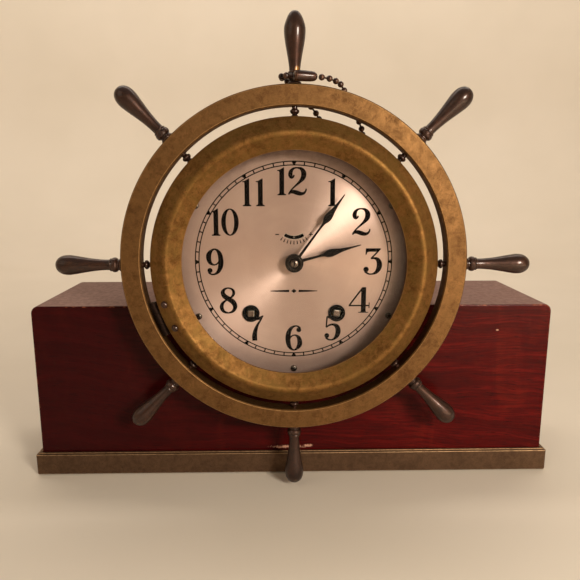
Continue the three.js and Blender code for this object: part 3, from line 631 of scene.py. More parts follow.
def between(before, start, end, after, t):
    """A point of the centripetal Catmull-Rom curve from start to end."""
    gaps = [max((b - a).length ** 0.5, 1e-6) for a, b in ((before, start), (start, end), (end, after))]
    out = (start - before) / gaps[0] - (end - before) / (gaps[0] + gaps[1]) + (end - start) / gaps[1]
    into = (end - start) / gaps[1] - (after - start) / (gaps[1] + gaps[2]) + (after - end) / gaps[2]
    out *= gaps[1]
    into *= gaps[1]
    square, cube = t * t, t * t * t
    return (
        start * (2 * cube - 3 * square + 1)
        + out * (cube - 2 * square + t)
        + end * (3 * square - 2 * cube)
        + into * (cube - square)
    )


def flat(bm, outlines, front, back, bevel, matrix=None, steps=2):
    """Adds a plate from closed (x, z) outlines, the later ones holes, between y = front and y = back.

    With a matrix, outlines lie in its XY plane and front and back are its lower and upper Z.
    """
    data = bpy.data.curves.new("flat", "CURVE")
    data.dimensions = "2D"
    data.fill_mode = "BOTH"
    half = abs(back - front) / 2
    bevel = min(bevel, half * 0.9)
    data.extrude = half - bevel
    data.bevel_depth = bevel
    data.bevel_resolution = steps
    data.offset = -bevel
    for outline in outlines:
        spline = data.splines.new("POLY")
        spline.points.add(len(outline) - 1)
        spline.use_cyclic_u = True
        for point, (a, b) in zip(spline.points, outline):
            point.co = (a, b, 0, 1)
    shape = linked("flat", data)
    bpy.context.view_layer.update()
    mesh = bpy.data.meshes.new_from_object(shape)
    bpy.data.objects.remove(shape)
    bpy.data.curves.remove(data)
    part = bmesh.new()
    part.from_mesh(mesh)
    bpy.data.meshes.remove(mesh)
    bmesh.ops.remove_doubles(part, verts=part.verts, dist=1e-4)
    bmesh.ops.recalc_face_normals(part, faces=part.faces)
    layer = part.loops.layers.float.new("wear")
    for face in part.faces:
        bevelled = 0.08 < abs(face.normal.z) < 0.995
        for loop in face.loops:
            loop[layer] = bevelled
    place = matrix if matrix is not None else ABOUT_Y
    middle = (front + back) / 2 if matrix is not None else -(front + back) / 2
    part.transform(place @ Matrix.Translation((0, 0, middle)))
    adopt(bm, part)


def adopt(bm, part):
    """Moves the part's mesh into bm and frees it."""
    mesh = bpy.data.meshes.new("part")
    part.to_mesh(mesh)
    part.free()
    bm.from_mesh(mesh)
    bpy.data.meshes.remove(mesh)


def tube(inner, outer, low, high):
    """The profile of a tube, or of a rod if inner is 0."""
    return [(inner, low), (outer, low), (outer, high), (inner, high)]


def circle(x, z, radius, sides=48):
    turn = [2 * pi * i / sides for i in range(sides)]
    return [(x + radius * cos(a), z + radius * sin(a)) for a in turn]


def arc(radius, start, end, sides, x=0.0, z=0.0):
    """Points on a circle from one angle to another, in degrees anticlockwise from three o'clock."""
    turn = [radians(start + (end - start) * i / sides) for i in range(sides + 1)]
    return [(x + radius * cos(a), z + radius * sin(a)) for a in turn]


def on_circle(radius, angle):
    return radius * cos(radians(angle)), radius * sin(radians(angle))


def piece(name, bm, body, node, slot, material, space=CLOCK, sharp=35, weighted=True):
    """Makes the mesh a piece that rides on a CAD body and stands for a CAD node, or for none."""
    bm.transform(space)
    bmesh.ops.recalc_face_normals(bm, faces=bm.faces)
    limit = radians(sharp)
    for face in bm.faces:
        face.smooth = True
    for edge in bm.edges:
        edge.smooth = len(edge.link_faces) == 2 and edge.calc_face_angle(0) < limit
    mesh = bpy.data.meshes.new(name)
    bm.to_mesh(mesh)
    bm.free()
    made = linked(name, mesh)
    mesh.materials.append(material)
    if weighted:
        normals = made.modifiers.new("normals", "WEIGHTED_NORMAL")
        normals.keep_sharp = True
    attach(made, body)
    if node:
        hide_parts(node)
    return made


def aim(origin, direction):
    """A matrix whose Z axis points along direction from origin."""
    turn = Vector(direction).to_track_quat("Z", "Y").to_matrix().to_4x4()
    return Matrix.Translation(origin) @ turn


def outward(angle):
    """A matrix on the wheel's middle whose Z axis points away from the dial's centre."""
    x, z = on_circle(1, angle)
    return aim((0, WHEEL_Y, 0), (x, 0, z))


def combined(parts, operation, solver):
    """The first closed mesh with the others taken away from it or joined to it."""
    holders = []
    for part in parts:
        mesh = bpy.data.meshes.new("part")
        bmesh.ops.recalc_face_normals(part, faces=part.faces)
        part.to_mesh(mesh)
        part.free()
        holders.append(linked("part", mesh))
    first = holders[0]
    for other in holders[1:]:
        modifier = first.modifiers.new("part", "BOOLEAN")
        modifier.operation = operation
        modifier.solver = solver
        modifier.object = other
    bpy.context.view_layer.update()
    result = bmesh.new()
    result.from_object(first, bpy.context.evaluated_depsgraph_get())
    for holder in holders:
        data = holder.data
        bpy.data.objects.remove(holder)
        bpy.data.meshes.remove(data)
    if "wear" not in result.loops.layers.float:
        result.loops.layers.float.new("wear")
    return result


def box_cut(bm, place, *size):
    """bm less a box of this size at this place."""
    knife = bmesh.new()
    bmesh.ops.create_cube(knife, size=1)
    knife.transform(place @ Matrix.Diagonal((*size, 1)))
    return combined((bm, knife), "DIFFERENCE", "EXACT")


# ---- the chain, its coupling and the key

COUPLING_FROM = Vector((-0.8, -24.4, 94.7))
COUPLING_TO = Vector((11, -22.2, 94.4))

# From the coupling's right end over the drum, down through the key and back to the coupling
CHAIN_ROUTE = [
    (11.9, -22, 94.4), (14.9, -21, 94.1), (18.2, -19.3, 93.8), (21.2, -16.8, 93), (23.8, -13.7, 91.9),
    (25.7, -11.3, 89.5), (27.5, -10.4, 86), (29.6, -10.4, 81.8), (31.8, -10.1, 78), (34, -9.3, 74.2),
    (35.8, -7, 70.6), (36.9, -2.9, 67.6), (37.3, 2.4, 65.4), (37.2, 9, 64.5), (36.7, 18, 64.6),
    (36, 29, 64.9), (35.3, 38, 65.2), (34.8, 44.4, 65.6), (34.5, 48.6, 65), (34.2, 51.8, 62.2),
    (33.9, 52.9, 57.6), (33.5, 53.5, 51.6), (33.1, 54.4, 44.6), (32.6, 55.6, 38.6), (29.8, 56.4, 33.9),
    (25, 56.5, 32.1), (20.2, 56.4, 33.9), (17.4, 55.6, 38.6), (16.9, 54.4, 44.6), (16.7, 53.5, 51.6),
    (16.5, 53.1, 59), (16.4, 52.8, 65.4), (16.3, 51.2, 69.8), (16.2, 47.8, 72.3), (16.1, 42.6, 72.7),
    (16, 30, 72.5), (15.8, 18, 72.5), (15.4, 7, 72.7), (14.8, 0, 73.5), (13.5, -5.2, 75.4),
    (11.5, -8.7, 78.3), (8.7, -10.3, 81.5), (5.5, -10.7, 84.8), (2.4, -10.8, 88.1), (-0.7, -11, 91.4),
    (-3.8, -12.2, 93.8), (-6.1, -14.6, 94.8), (-6.9, -17.8, 94.9), (-6.2, -21, 94.8),
    (-4.4, -23.2, 94.7), (-1.7, -24.3, 94.7),
]


def evenly(line, count):
    """Points and directions at count even places along a line, the first a third of a step in."""
    lengths = [(b - a).length for a, b in zip(line, line[1:])]
    step = sum(lengths) / count
    places, walked, target = [], 0.0, step / 3
    for start, end, length in zip(line, line[1:], lengths):
        while target <= walked + length and len(places) < count:
            share = (target - walked) / length
            places.append((start.lerp(end, share), (end - start).normalized()))
            target += step
        walked += length
    return places


def add_chain():
    """Hollow balls on short links, as ball chain is made."""
    line = curve_points(CHAIN_ROUTE, 8)
    long = sum((b - a).length for a, b in zip(line, line[1:]))
    count = round(long / CHAIN_PITCH)
    ball = CHAIN_DIAMETER / 2
    mouth, tucked, open_angle, link = 0.62, 0.12, 0.42, 0.48
    lip = sqrt(ball**2 - mouth**2) - tucked
    profile = [(mouth, -lip)]
    for i in range(11):
        angle = -pi / 2 + open_angle + (pi - 2 * open_angle) * i / 10
        profile.append((ball * cos(angle), ball * sin(angle)))
    profile.append((mouth, lip))
    rub = [-1] + [0] * 3 + [0.7] * 4 + [0] * 3 + [-1] * 2
    bm = new_mesh()
    places = evenly(line, count)
    for middle, ahead in places:
        matrix = aim(middle, ahead) @ Matrix.Rotation(chance.uniform(0, 3), 4, "Z")
        spin(bm, profile, rub, matrix, 18, False)
    ends = [line[0], *[middle for middle, _ in places], line[-1]]
    for start, end in zip(ends, ends[1:]):
        half = (end - start).length / 2
        place = aim((start + end) / 2, end - start)
        spin(bm, tube(0, link, -half, half), [0, 0.4, 0, 0], place, 8, False)
    look = ("dark_bronze", DARK_BRONZE)
    chain = piece("chain_beads", bm, "case", "ball_chain", *look, sharp=50, weighted=False)
    return chain, line, long


def add_coupling():
    """The little folded sleeve that holds the chain's last balls, open along its underside."""
    along = COUPLING_TO - COUPLING_FROM
    long = along.length
    bm = new_mesh()
    profile = [
        (0, 0), (1.2, 0.1), (2.1, 0.45), (2.55, 1.3), (2.65, 3.0), (2.6, 6.0), (2.45, long - 3.0),
        (2.15, long - 1.3), (1.5, long - 0.35), (0.8, long - 0.05), (0, long),
    ]
    turned(bm, profile, 0.8, 40, matrix=aim(COUPLING_FROM, along))
    underside = COUPLING_FROM + along / 2 + Vector((0, 0, -2.2))
    turn = along.to_track_quat("X", "Z").to_matrix().to_4x4()
    bm = box_cut(bm, Matrix.Translation(underside) @ turn, long - 6.4, 1.2, 2.0)
    return piece("coupling", bm, "case", "chain_coupling", "dark_bronze", DARK_BRONZE)


def add_key():
    """A cast wing with a round eye, and a barrel bored square."""
    side = [(3.2, -12), (4.4, -10.2), (8.0, -7.6), (8.9, -3), (8.6, 0.6), (5.6, 4.1)]
    wing = curve_points([(-x, z) for x, z in side] + [(0, 4.6)] + side[::-1], 4)
    eye, half, square, socket = 3.2, 1.1, 3.9, 14
    bm = new_mesh()
    # the wing stands in the plane of y and z: its X is the clock's y, its Y is z
    stand = Matrix(((0, 0, 1, KEY_X), (1, 0, 0, KEY_Y), (0, 1, 0, KEY_Z), (0, 0, 0, 1)))
    flat(bm, [wing, circle(0, 0, eye, 40)], -half, half, 0.5, stand, 3)
    barrel = Matrix.Translation((KEY_X, KEY_Y, KEY_Z))
    profile = [(0, -9.4), (2.0, -10.4), (2.9, -10.9), (3.2, -12), (3.2, -37.2), (3.2, -38.6)]
    profile += [(3.2, -40), (0, -40)]
    part = new_mesh()
    turned(part, profile, 0.35, 40, matrix=barrel)
    adopt(bm, box_cut(part, barrel @ Matrix.Translation((0, 0, -35)), square, square, socket))
    return piece("key", bm, "case", "winding_key", "aged_brass", AGED_BRASS)


chain, chain_line, chain_long = add_chain()
coupling = add_coupling()
key = add_key()

# ---- the base


def add_block():
    """The mahogany block: soft edges, and the cradle that the drum stands in."""
    half, bottom, top = 149.5, 1.5, 102.5
    corner, cradle = 4.5, 72.6
    middle = DIAL_Z / MM
    edge = degrees(asin((middle - top) / cradle))
    outline = [(-half, bottom), (half, bottom)]
    outline += arc(corner, 0, 90, 8, half - corner, top - corner)
    outline += arc(cradle, -edge, edge - 180, 96, 0, middle)
    outline += arc(corner, 90, 180, 8, corner - half, top - corner)
    bm = new_mesh()
    flat(bm, [outline], 0, BLOCK_DEPTH, 0.9, steps=4)
    piece("mahogany_block", bm, "case", "base_block", "mahogany", MAHOGANY, BASE, sharp=32)


def add_moulding():
    """The strip round the foot, bent from one length, with a small step along its top."""
    inner, outer, front = 149.8, 152.5, -3.0

    def strip(inset):
        out = outer - inset
        near = front + inset
        right = [(out - 1, near), (out - 0.4, near + 0.35), (out, near + 1), (out, BLOCK_DEPTH)]
        right += [(inner, BLOCK_DEPTH), (inner, -0.3)]
        left = [(-x, y) for x, y in reversed(right)]
        return left[2:] + right + left[:2]

    bm = new_mesh()
    flat(bm, [strip(0)], 0.8, 13.0, 0.35, UPRIGHT, 3)
    flat(bm, [strip(1.0)], 12.0, 13.9, 0.3, UPRIGHT, 2)
    piece("foot_moulding", bm, "case", "base_moulding", "base_metal", BASE_METAL, BASE, sharp=32)


def add_felt():
    edge, front, thick = 149, 0.5, 1.2
    deep = BLOCK_DEPTH - 2 * front
    bm = new_mesh()
    outline = [(-edge, front), (edge, front), (edge, front + deep), (-edge, front + deep)]
    flat(bm, [outline], 0, thick, 0.45, UPRIGHT, 2)
    felt = piece("felt_pad", bm, "case", "felt_sheet", "felt", FELT, BASE, sharp=60)


# ---- the case, the ring and its handles


def add_drum():
    """The brass case: a drawn cup with a rolled front edge, a ledge for the dial and a turned back."""
    inner = DRUM_RADIUS - DRUM_WALL
    bm = new_mesh()
    profile = [
        (0, DRUM_BACK - 2), (inner, DRUM_BACK - 2), (inner, LEDGE_BACK), (LEDGE_RADIUS, LEDGE_BACK),
        (LEDGE_RADIUS, LEDGE_FRONT), (inner, LEDGE_FRONT), (inner, DRUM_FRONT),
        (DRUM_RADIUS, DRUM_FRONT), (DRUM_RADIUS, DRUM_BACK - 4.6),
        (DRUM_RADIUS - 0.35, DRUM_BACK - 4.2), (DRUM_RADIUS - 0.35, DRUM_BACK - 3.8),
        (DRUM_RADIUS, DRUM_BACK - 3.4), (DRUM_RADIUS, DRUM_BACK), (DRUM_RADIUS - 5, DRUM_BACK),
        (DRUM_RADIUS - 5.6, DRUM_BACK - 0.4), (DRUM_RADIUS - 6.4, DRUM_BACK - 0.4),
        (DRUM_RADIUS - 7, DRUM_BACK), (0, DRUM_BACK),
    ]
    turned(bm, profile, 0.5)
    piece("drum", bm, "case", "case_drum", "aged_brass", AGED_BRASS)


def add_ring():
    bm = new_mesh()
    profile = [
        (RING_INNER, RING_FRONT + 0.6), (RING_INNER + 0.6, RING_FRONT), (RING_OUTER - 0.6, RING_FRONT),
        (RING_OUTER, RING_FRONT + 0.6), (RING_OUTER, RING_BACK), (RING_INNER, RING_BACK),
    ]
    turned(bm, profile, 0.35, 224)
    piece("helm_ring", bm, "case", "wheel_ring", "aged_brass", AGED_BRASS)


def raised(knots, base):
    """(radius, along) knots with their heights counted from a base."""
    return [(radius, base + along) for radius, along in knots]


def add_handles():
    """Turned bronze handles, each with a foot, a crisp collar, a neck and a bulb; the top one is fuller."""
    foot = RING_OUTER + 0.3
    start = [(0, 84), (1.4, 84), (1.4, foot), (3.45, foot)]
    collar = [(3.45, 0.5), (2.9, 1.1), (2.85, 1.7), (3.4, 2.0), (3.85, 2.7), (3.95, 3.6), (3.75, 4.5)]
    collar += [(3.2, 5.0), (3.4, 5.25), (3.4, 5.75), (2.85, 6.0)]
    full = [(2.8, 6.3), (2.9, 8.0), (3.25, 10.6), (3.95, 14.6), (4.8, 19.2), (5.35, 23.6), (5.35, 26.6)]
    full += [(4.6, 29.4), (3.35, 32.2), (1.8, 34.0), (0, 34.5)]
    slim = [(2.8, 6.3), (2.8, 8.5), (3.0, 11.5), (3.45, 15.5), (4.15, 19.8), (4.9, 24.2), (5.3, 27.6)]
    slim += [(4.9, 30.7), (3.5, 33.1), (1.8, 34.2), (0, 34.5)]
    for i in range(SPOKES):
        bm = new_mesh()
        grip = curve_points(raised(full if i == 0 else slim, foot), 5)
        profile = [*start, *raised(collar, foot), *grip]
        turned(bm, profile, 0.14, 40, matrix=outward(90 - 45 * i), segments=2)
        node = f"wheel_handle_{i + 1}"
        piece(f"handle_{i + 1}", bm, "case", node, "dark_bronze", DARK_BRONZE, sharp=42)


def add_spindles():
    """Small double-beaded spindles across the gap between the case and the ring."""
    middle = (DRUM_RADIUS + RING_INNER) / 2
    inner_end, outer_end, rod = 70.2, 83.7, 1.4
    knots = [(rod, -3.2), (1.25, -2.4), (1.6, -1.7), (2.05, -0.8), (1.7, -0.1), (1.3, 0.4)]
    knots += [(1.9, 0.9), (2.45, 1.7), (2.3, 2.5), (1.5, 3.1), (rod, 3.8)]
    beads = curve_points(raised(knots, middle), 4)
    profile = [(0, inner_end), (rod, inner_end), *beads, (rod, outer_end), (0, outer_end)]
    for i in range(SPOKES):
        bm = new_mesh()
        turned(bm, profile, 0.1, 24, matrix=outward(90 - 45 * i), segments=1)
        node = f"wheel_spindle_{i + 1}"
        piece(f"spindle_{i + 1}", bm, "case", node, "dark_bronze", DARK_BRONZE, sharp=50)


# ---- the door


def add_bezel():
    """Outer slope, ridge and inner slope, spun from one sheet, with the lip that holds the glass."""
    bm = new_mesh()
    ridge, middle, base = 3, 67.2, -25
    profile = [
        (72.6, -21), (67.6, -25), (66.4, -25), (66.4, -19.2), (62.8, -19.2), (62.8, -21.5),
        (59.2, -21.5), (59.2, -23), (60.2, -23.7),
        *[(middle + ridge * sin(radians(a)), base - ridge * cos(radians(a))) for a in range(-35, 38, 8)],
        (75.0, -22.8), (75.7, -22.1), (75.7, -21),
    ]
    turned(bm, profile, 0.3, 224)
    piece("door_bezel", bm, "bezel_door", "bezel", "aged_brass", DOOR_BRASS)


def add_glass():
    bm = new_mesh()
    turned(bm, tube(0, 62.4, -21.2, -19.4), 0.35, 160)
    piece("door_glass", bm, "bezel_door", "bezel_glass", "clear_glass", GLASS)

    keeper = new_mesh()
    turned(keeper, tube(61, 65.9, -18.9, -18.1), 0.2, 160)
    piece("glass_keeper", keeper, "bezel_door", "glass_retainer", "aged_brass", AGED_BRASS)


ON_PIN = Matrix.Translation((HINGE_RADIUS, HINGE_Y, 0))


def on_hinge(side=0.0):
    """The frame of a hinge piece: X away from the dial's centre, Z along the pin."""
    return Matrix.Rotation(-radians(HINGE_ANGLE + side * RIVET_SPREAD), 4, "Y")


def strip_outline(path, thickness):
    """Outline of a bent strip along (x, y) points, its bends eased."""
    line = [Vector(p) for p in path]
    left, right = [], []
    for i, point in enumerate(line):
        before, after = line[max(i - 1, 0)], line[min(i + 1, len(line) - 1)]
        along = ((point - before).normalized() if i else Vector((0, 0))) + (
            (after - point).normalized() if i < len(line) - 1 else Vector((0, 0))
        )
        along.normalize()
        leg = (after - point if i == 0 else point - before).normalized()
        side = Vector((-along.y, along.x)) * (thickness / 2 / max(along.dot(leg), 0.3))
        left.append(point + side)
        right.insert(0, point - side)
    return left + right


def add_leaf(name, node, body, path, thickness, half, knuckles):
    """A hinge leaf: a bent strip and its knuckles, each from one height to another along the pin."""
    bm = new_mesh()
    flat(bm, [strip_outline(path, thickness)], -half, half, 0.12, on_hinge(), 1)
    for low, high in knuckles:
        turned(bm, tube(1.0, KNUCKLE_RADIUS, low, high), 0.2, 28, matrix=on_hinge() @ ON_PIN)
    piece(name, bm, body, node, "dark_bronze", PAINTED_SHADE_BRONZE)


def add_hinge():
    """The door's leaf and the two rivets that hold it to the bezel; the case's leaf; the pin."""
    gap = CASE_KNUCKLE_HALF + 0.3
    strap = [(76.6, HINGE_Y - 0.2), (75.6, HINGE_Y), (71.6, HINGE_Y), (67.2, -23.81)]
    knuckles = ((-HINGE_HALF, -gap), (gap, HINGE_HALF))
    add_leaf("door_leaf", "bezel_hinge_leaf", "bezel_door", strap, 0.8, HINGE_HALF, knuckles)
    tail = [(77.2, -19.0), (76.4, -17.6), (73, -16.2), (73, -8.5)]
    half = CASE_KNUCKLE_HALF
    add_leaf("case_leaf", "case_hinge_leaf", "case", tail, 0.9, half, ((-half, half),))

    pin = new_mesh()
    end = HINGE_HALF + 0.4
    turned(pin, tube(0, 0.7, -end, end), 0.2, 20, matrix=on_hinge() @ ON_PIN)
    piece("pivot_pin", pin, "case", "hinge_pin", "dark_bronze", PAINTED_SHADE_BRONZE, sharp=45)

    tilt = Matrix.Translation((RIVET_RADIUS, RIVET_Y, 0)) @ Matrix.Rotation(radians(RIVET_TILT), 4, "Z")
    for i, side in enumerate((-1, 1)):
        rivet = new_mesh()
        head = [(0, -4.4), (0.8, -4.4), (0.8, 0.1), (1.95, 0.1)]
        head += [(1.95, 0.5), (1.65, 1.15), (1.0, 1.62), (0, 1.8)]
        turned(rivet, head, 0.15, 28, matrix=on_hinge(side) @ tilt @ ABOUT_Y)
        node = f"hinge_rivet_{i + 1}"
        piece(f"rivet_{i + 1}", rivet, "bezel_door", node, "dark_bronze", DARK_BRONZE, sharp=45)


# ---- the dial


def regulator_slot():
    start, end = 270 - REGULATOR_HALF_ANGLE, 270 + REGULATOR_HALF_ANGLE
    outer = arc(REGULATOR_RADIUS + SLOT_HALF, start, end, 16, 0, REGULATOR_Z)
    return outer + arc(REGULATOR_RADIUS - SLOT_HALF, end, start, 16, 0, REGULATOR_Z)


def add_dial_plate():
    for_hands, for_key, for_screw = 3.6, 4.3, 1.35
    holes = [circle(0, 0, for_hands)]
    holes += [circle(x, WINDING_Z, for_key) for x in (-WINDING_X, WINDING_X)]
    holes += [circle(*on_circle(SCREW_CIRCLE, 90 - 60 * i), for_screw, 20) for i in range(DIAL_SCREWS)]
    bm = new_mesh()
    flat(bm, [circle(0, 0, DIAL_RADIUS, 192), *holes, regulator_slot()], DIAL_FRONT, DIAL_BACK, 0.14)
    piece("dial", bm, "case", "dial_plate", "silvered_dial", SILVERED, sharp=12, weighted=False)


def prism(outlines, height=PRINT_HEIGHT):
    """A print-thin closed mesh from closed (x, z) outlines, a little sunk into the dial's face."""
    bm = bmesh.new()
    flat(bm, outlines, DIAL_FRONT - height, DIAL_FRONT + 0.1, 0.0)
    return bm


def stroke(knots, per_span=6):
    """The outline of a pen stroke through (x, z, half width) knots."""
    line = curve_points(knots, per_span)
    left, right = [], []
    for i, (x, z, half) in enumerate(line):
        before, after = line[max(i - 1, 0)], line[min(i + 1, len(line) - 1)]
        along = Vector((after.x - before.x, after.y - before.y)).normalized()
        half += PEN_SPREAD
        left.append((x - along.y * half, z + along.x * half))
        right.insert(0, (x + along.y * half, z - along.x * half))
    return left + right


def ellipse(x, z, wide, high):
    turn = [2 * pi * i / 56 for i in range(56)]
    return [(x + wide * cos(a), z + high * sin(a)) for a in turn]


def turned_over(outlines):
    """The same figure turned half round."""
    return [[(-x, -z) for x, z in outline] for outline in outlines]


# Each figure is a list of closed outlines that overlap; a pair of outlines is a shape and its hole
FIGURES = {
    "0": [(ellipse(0, 0, 4.5, 7.0), ellipse(0, 0, 2.15, 6.35))],
    "1": [[
        (1.22, 7.0), (0.8, 7.0), (-0.4, 6.2), (-1.3, 5.8), (-2.3, 5.65), (-2.3, 5.15), (-1.45, 5.1),
        (-1.22, 4.7), (-1.22, -5.6), (-1.4, -6.2), (-2.2, -6.45), (-2.2, -7.0), (2.2, -7.0),
        (2.2, -6.45), (1.4, -6.2), (1.22, -5.6),
    ]],
    "2": [
        stroke([
            (-1.7, 3.3, 0.2), (-2.0, 2.5, 0.34), (-2.9, 2.05, 0.62), (-3.55, 3.0, 0.95),
            (-3.35, 4.9, 0.85), (-2.0, 6.45, 0.4), (0.0, 6.8, 0.26), (2.0, 6.2, 0.7), (3.2, 4.2, 1.2),
            (2.9, 2.0, 1.1), (1.3, -0.1, 0.62), (-1.2, -2.4, 0.32), (-3.4, -4.6, 0.24),
            (-4.4, -6.3, 0.3),
        ]),
        stroke([
            (-4.5, -6.6, 0.15), (-3.6, -5.5, 0.5), (-2.0, -5.2, 0.85), (-0.2, -5.7, 1.0),
            (1.7, -6.2, 0.8), (3.3, -5.9, 0.5), (4.3, -4.7, 0.28), (4.5, -3.6, 0.2),
        ]),
    ],
    "3": [
        [
            (-3.7, 6.95), (4.2, 6.95), (3.6, 6.2), (2.6, 5.15), (-1.9, 5.15), (-2.9, 4.8), (-3.3, 3.5),
            (-3.85, 3.5),
        ],
        stroke([(4.0, 6.75, 0.22), (1.6, 4.1, 0.26), (-0.9, 1.5, 0.26)], 3),
        stroke([
            (-0.9, 1.45, 0.22), (0.6, 1.75, 0.36), (2.4, 1.2, 0.85), (3.55, -0.8, 1.25),
            (3.4, -3.4, 1.2), (2.0, -5.7, 0.75), (0.0, -6.65, 0.28), (-2.2, -6.5, 0.3),
            (-3.9, -5.2, 0.5),
        ]),
        circle(-3.35, -4.2, 1.42, 24),
    ],
    "4": [
        stroke([(-5.4, -2.9, 0.28), (-1.8, 2.1, 0.3), (1.7, 6.8, 0.3)], 3),
        [(-5.75, -3.4), (5.3, -3.4), (5.3, -2.65), (-5.75, -2.65)],
        [(4.85, -4.3), (5.4, -4.3), (5.4, -1.3), (4.95, -1.3)],
        [
            (0.8, -6.0), (0.5, -6.4), (-0.6, -6.55), (-0.6, -6.95), (4.8, -6.95), (4.8, -6.55),
            (3.6, -6.45), (3.4, -6.0), (3.4, 6.95), (1.6, 6.95), (0.8, 6.2),
        ],
    ],
    "5": [
        stroke([(-2.9, 6.1, 0.28), (-3.1, 3.2, 0.26), (-3.3, 0.3, 0.26)], 3),
        stroke([
            (-3.1, 6.3, 0.2), (-1.6, 5.8, 0.6), (0.6, 5.8, 0.85), (2.4, 6.3, 0.6), (3.4, 6.95, 0.12),
        ]),
        stroke([
            (-3.3, 0.2, 0.22), (-1.7, 1.4, 0.34), (0.4, 1.8, 0.5), (2.4, 0.7, 1.05), (3.1, -1.8, 1.25),
            (2.4, -4.5, 1.0), (0.4, -6.5, 0.36), (-1.8, -6.6, 0.28), (-3.5, -5.4, 0.42),
        ]),
        circle(-2.95, -4.3, 1.32, 24),
    ],
    "6": [
        circle(2.65, 4.5, 1.32, 24),
        stroke([
            (3.4, 5.4, 0.4), (2.0, 6.5, 0.28), (0.3, 6.5, 0.34), (-1.6, 5.2, 0.75), (-2.9, 2.4, 1.15),
            (-3.15, -1.2, 1.2), (-2.5, -4.4, 0.95), (-1.2, -6.2, 0.5), (0.1, -6.7, 0.26),
            (1.7, -6.0, 0.6),
        ]),
        stroke([
            (1.7, -6.0, 0.6), (3.0, -3.9, 1.15), (3.15, -1.9, 1.15), (2.4, 0.4, 0.8), (0.6, 1.55, 0.28),
            (-1.0, 1.1, 0.24), (-2.4, -0.5, 0.26),
        ]),
    ],
    "7": [
        [(-4.1, 6.95), (-3.7, 6.95), (-3.3, 6.3), (-3.4, 5.0), (-3.7, 3.6), (-4.1, 3.6)],
        stroke([
            (-3.8, 4.9, 0.3), (-2.8, 5.75, 0.75), (-0.8, 5.75, 0.95), (1.4, 5.3, 0.75), (3.4, 6.0, 0.5),
            (4.3, 6.9, 0.1),
        ]),
        stroke([
            (4.2, 6.7, 0.14), (3.0, 4.6, 0.3), (1.2, 1.6, 0.55), (0.1, -1.4, 0.95), (-0.35, -4.2, 1.2),
            (-0.3, -6.9, 1.2),
        ]),
    ],
    "8": [
        stroke([
            (1.7, 6.35, 0.36), (0.0, 6.75, 0.26), (-1.9, 6.1, 0.5), (-2.9, 4.4, 0.95),
            (-2.0, 2.4, 1.15), (0.3, 0.8, 1.2), (2.5, -0.9, 1.2), (3.5, -3.2, 1.05), (2.4, -5.7, 0.6),
            (0.0, -6.75, 0.24),
        ]),
        stroke([
            (0.0, -6.75, 0.24), (-2.4, -6.0, 0.6), (-3.65, -3.9, 0.9), (-3.2, -1.7, 0.7),
            (-1.6, -0.1, 0.4), (0.6, 1.2, 0.3), (2.3, 2.6, 0.5), (2.9, 4.3, 0.66), (2.3, 5.8, 0.5),
            (1.2, 6.55, 0.3),
        ]),
    ],
}
FIGURES["9"] = turned_over(FIGURES["6"])

# Each numeral: its figures and how far each stands from the numeral's middle
NUMERALS = {
    1: [("1", -0.9)], 2: [("2", -0.9)], 3: [("3", 0)], 4: [("4", -0.9)], 5: [("5", 0)], 6: [("6", 0)],
    7: [("7", 0)], 8: [("8", 1.2)], 9: [("9", 0)], 10: [("1", -4.7), ("0", 2.9)],
    11: [("1", -3.6), ("1", 3.6)], 12: [("1", -6.6), ("2", 1.8)],
}


def moved(outline, x, z, scale=1.0):
    return [(a * scale + x, b * scale + z) for a, b in (point[:2] for point in outline)]


def numeral_mesh(hour):
    """One numeral, upright, at its place on the dial."""
    x, z = on_circle(NUMERAL_RADIUS, 90 - 30 * hour)
    bm = bmesh.new()
    for figure, shift in NUMERALS[hour]:
        prisms = []
        for i, outline in enumerate(FIGURES[figure]):
            rings = outline if isinstance(outline, tuple) else (outline,)
            rings = [moved(ring, x + shift, z, NUMERAL_SCALE) for ring in rings]
            prisms.append(prism(rings, PRINT_HEIGHT + 0.002 * i))
        adopt(bm, combined(prisms, "UNION", "MANIFOLD"))
    return bm


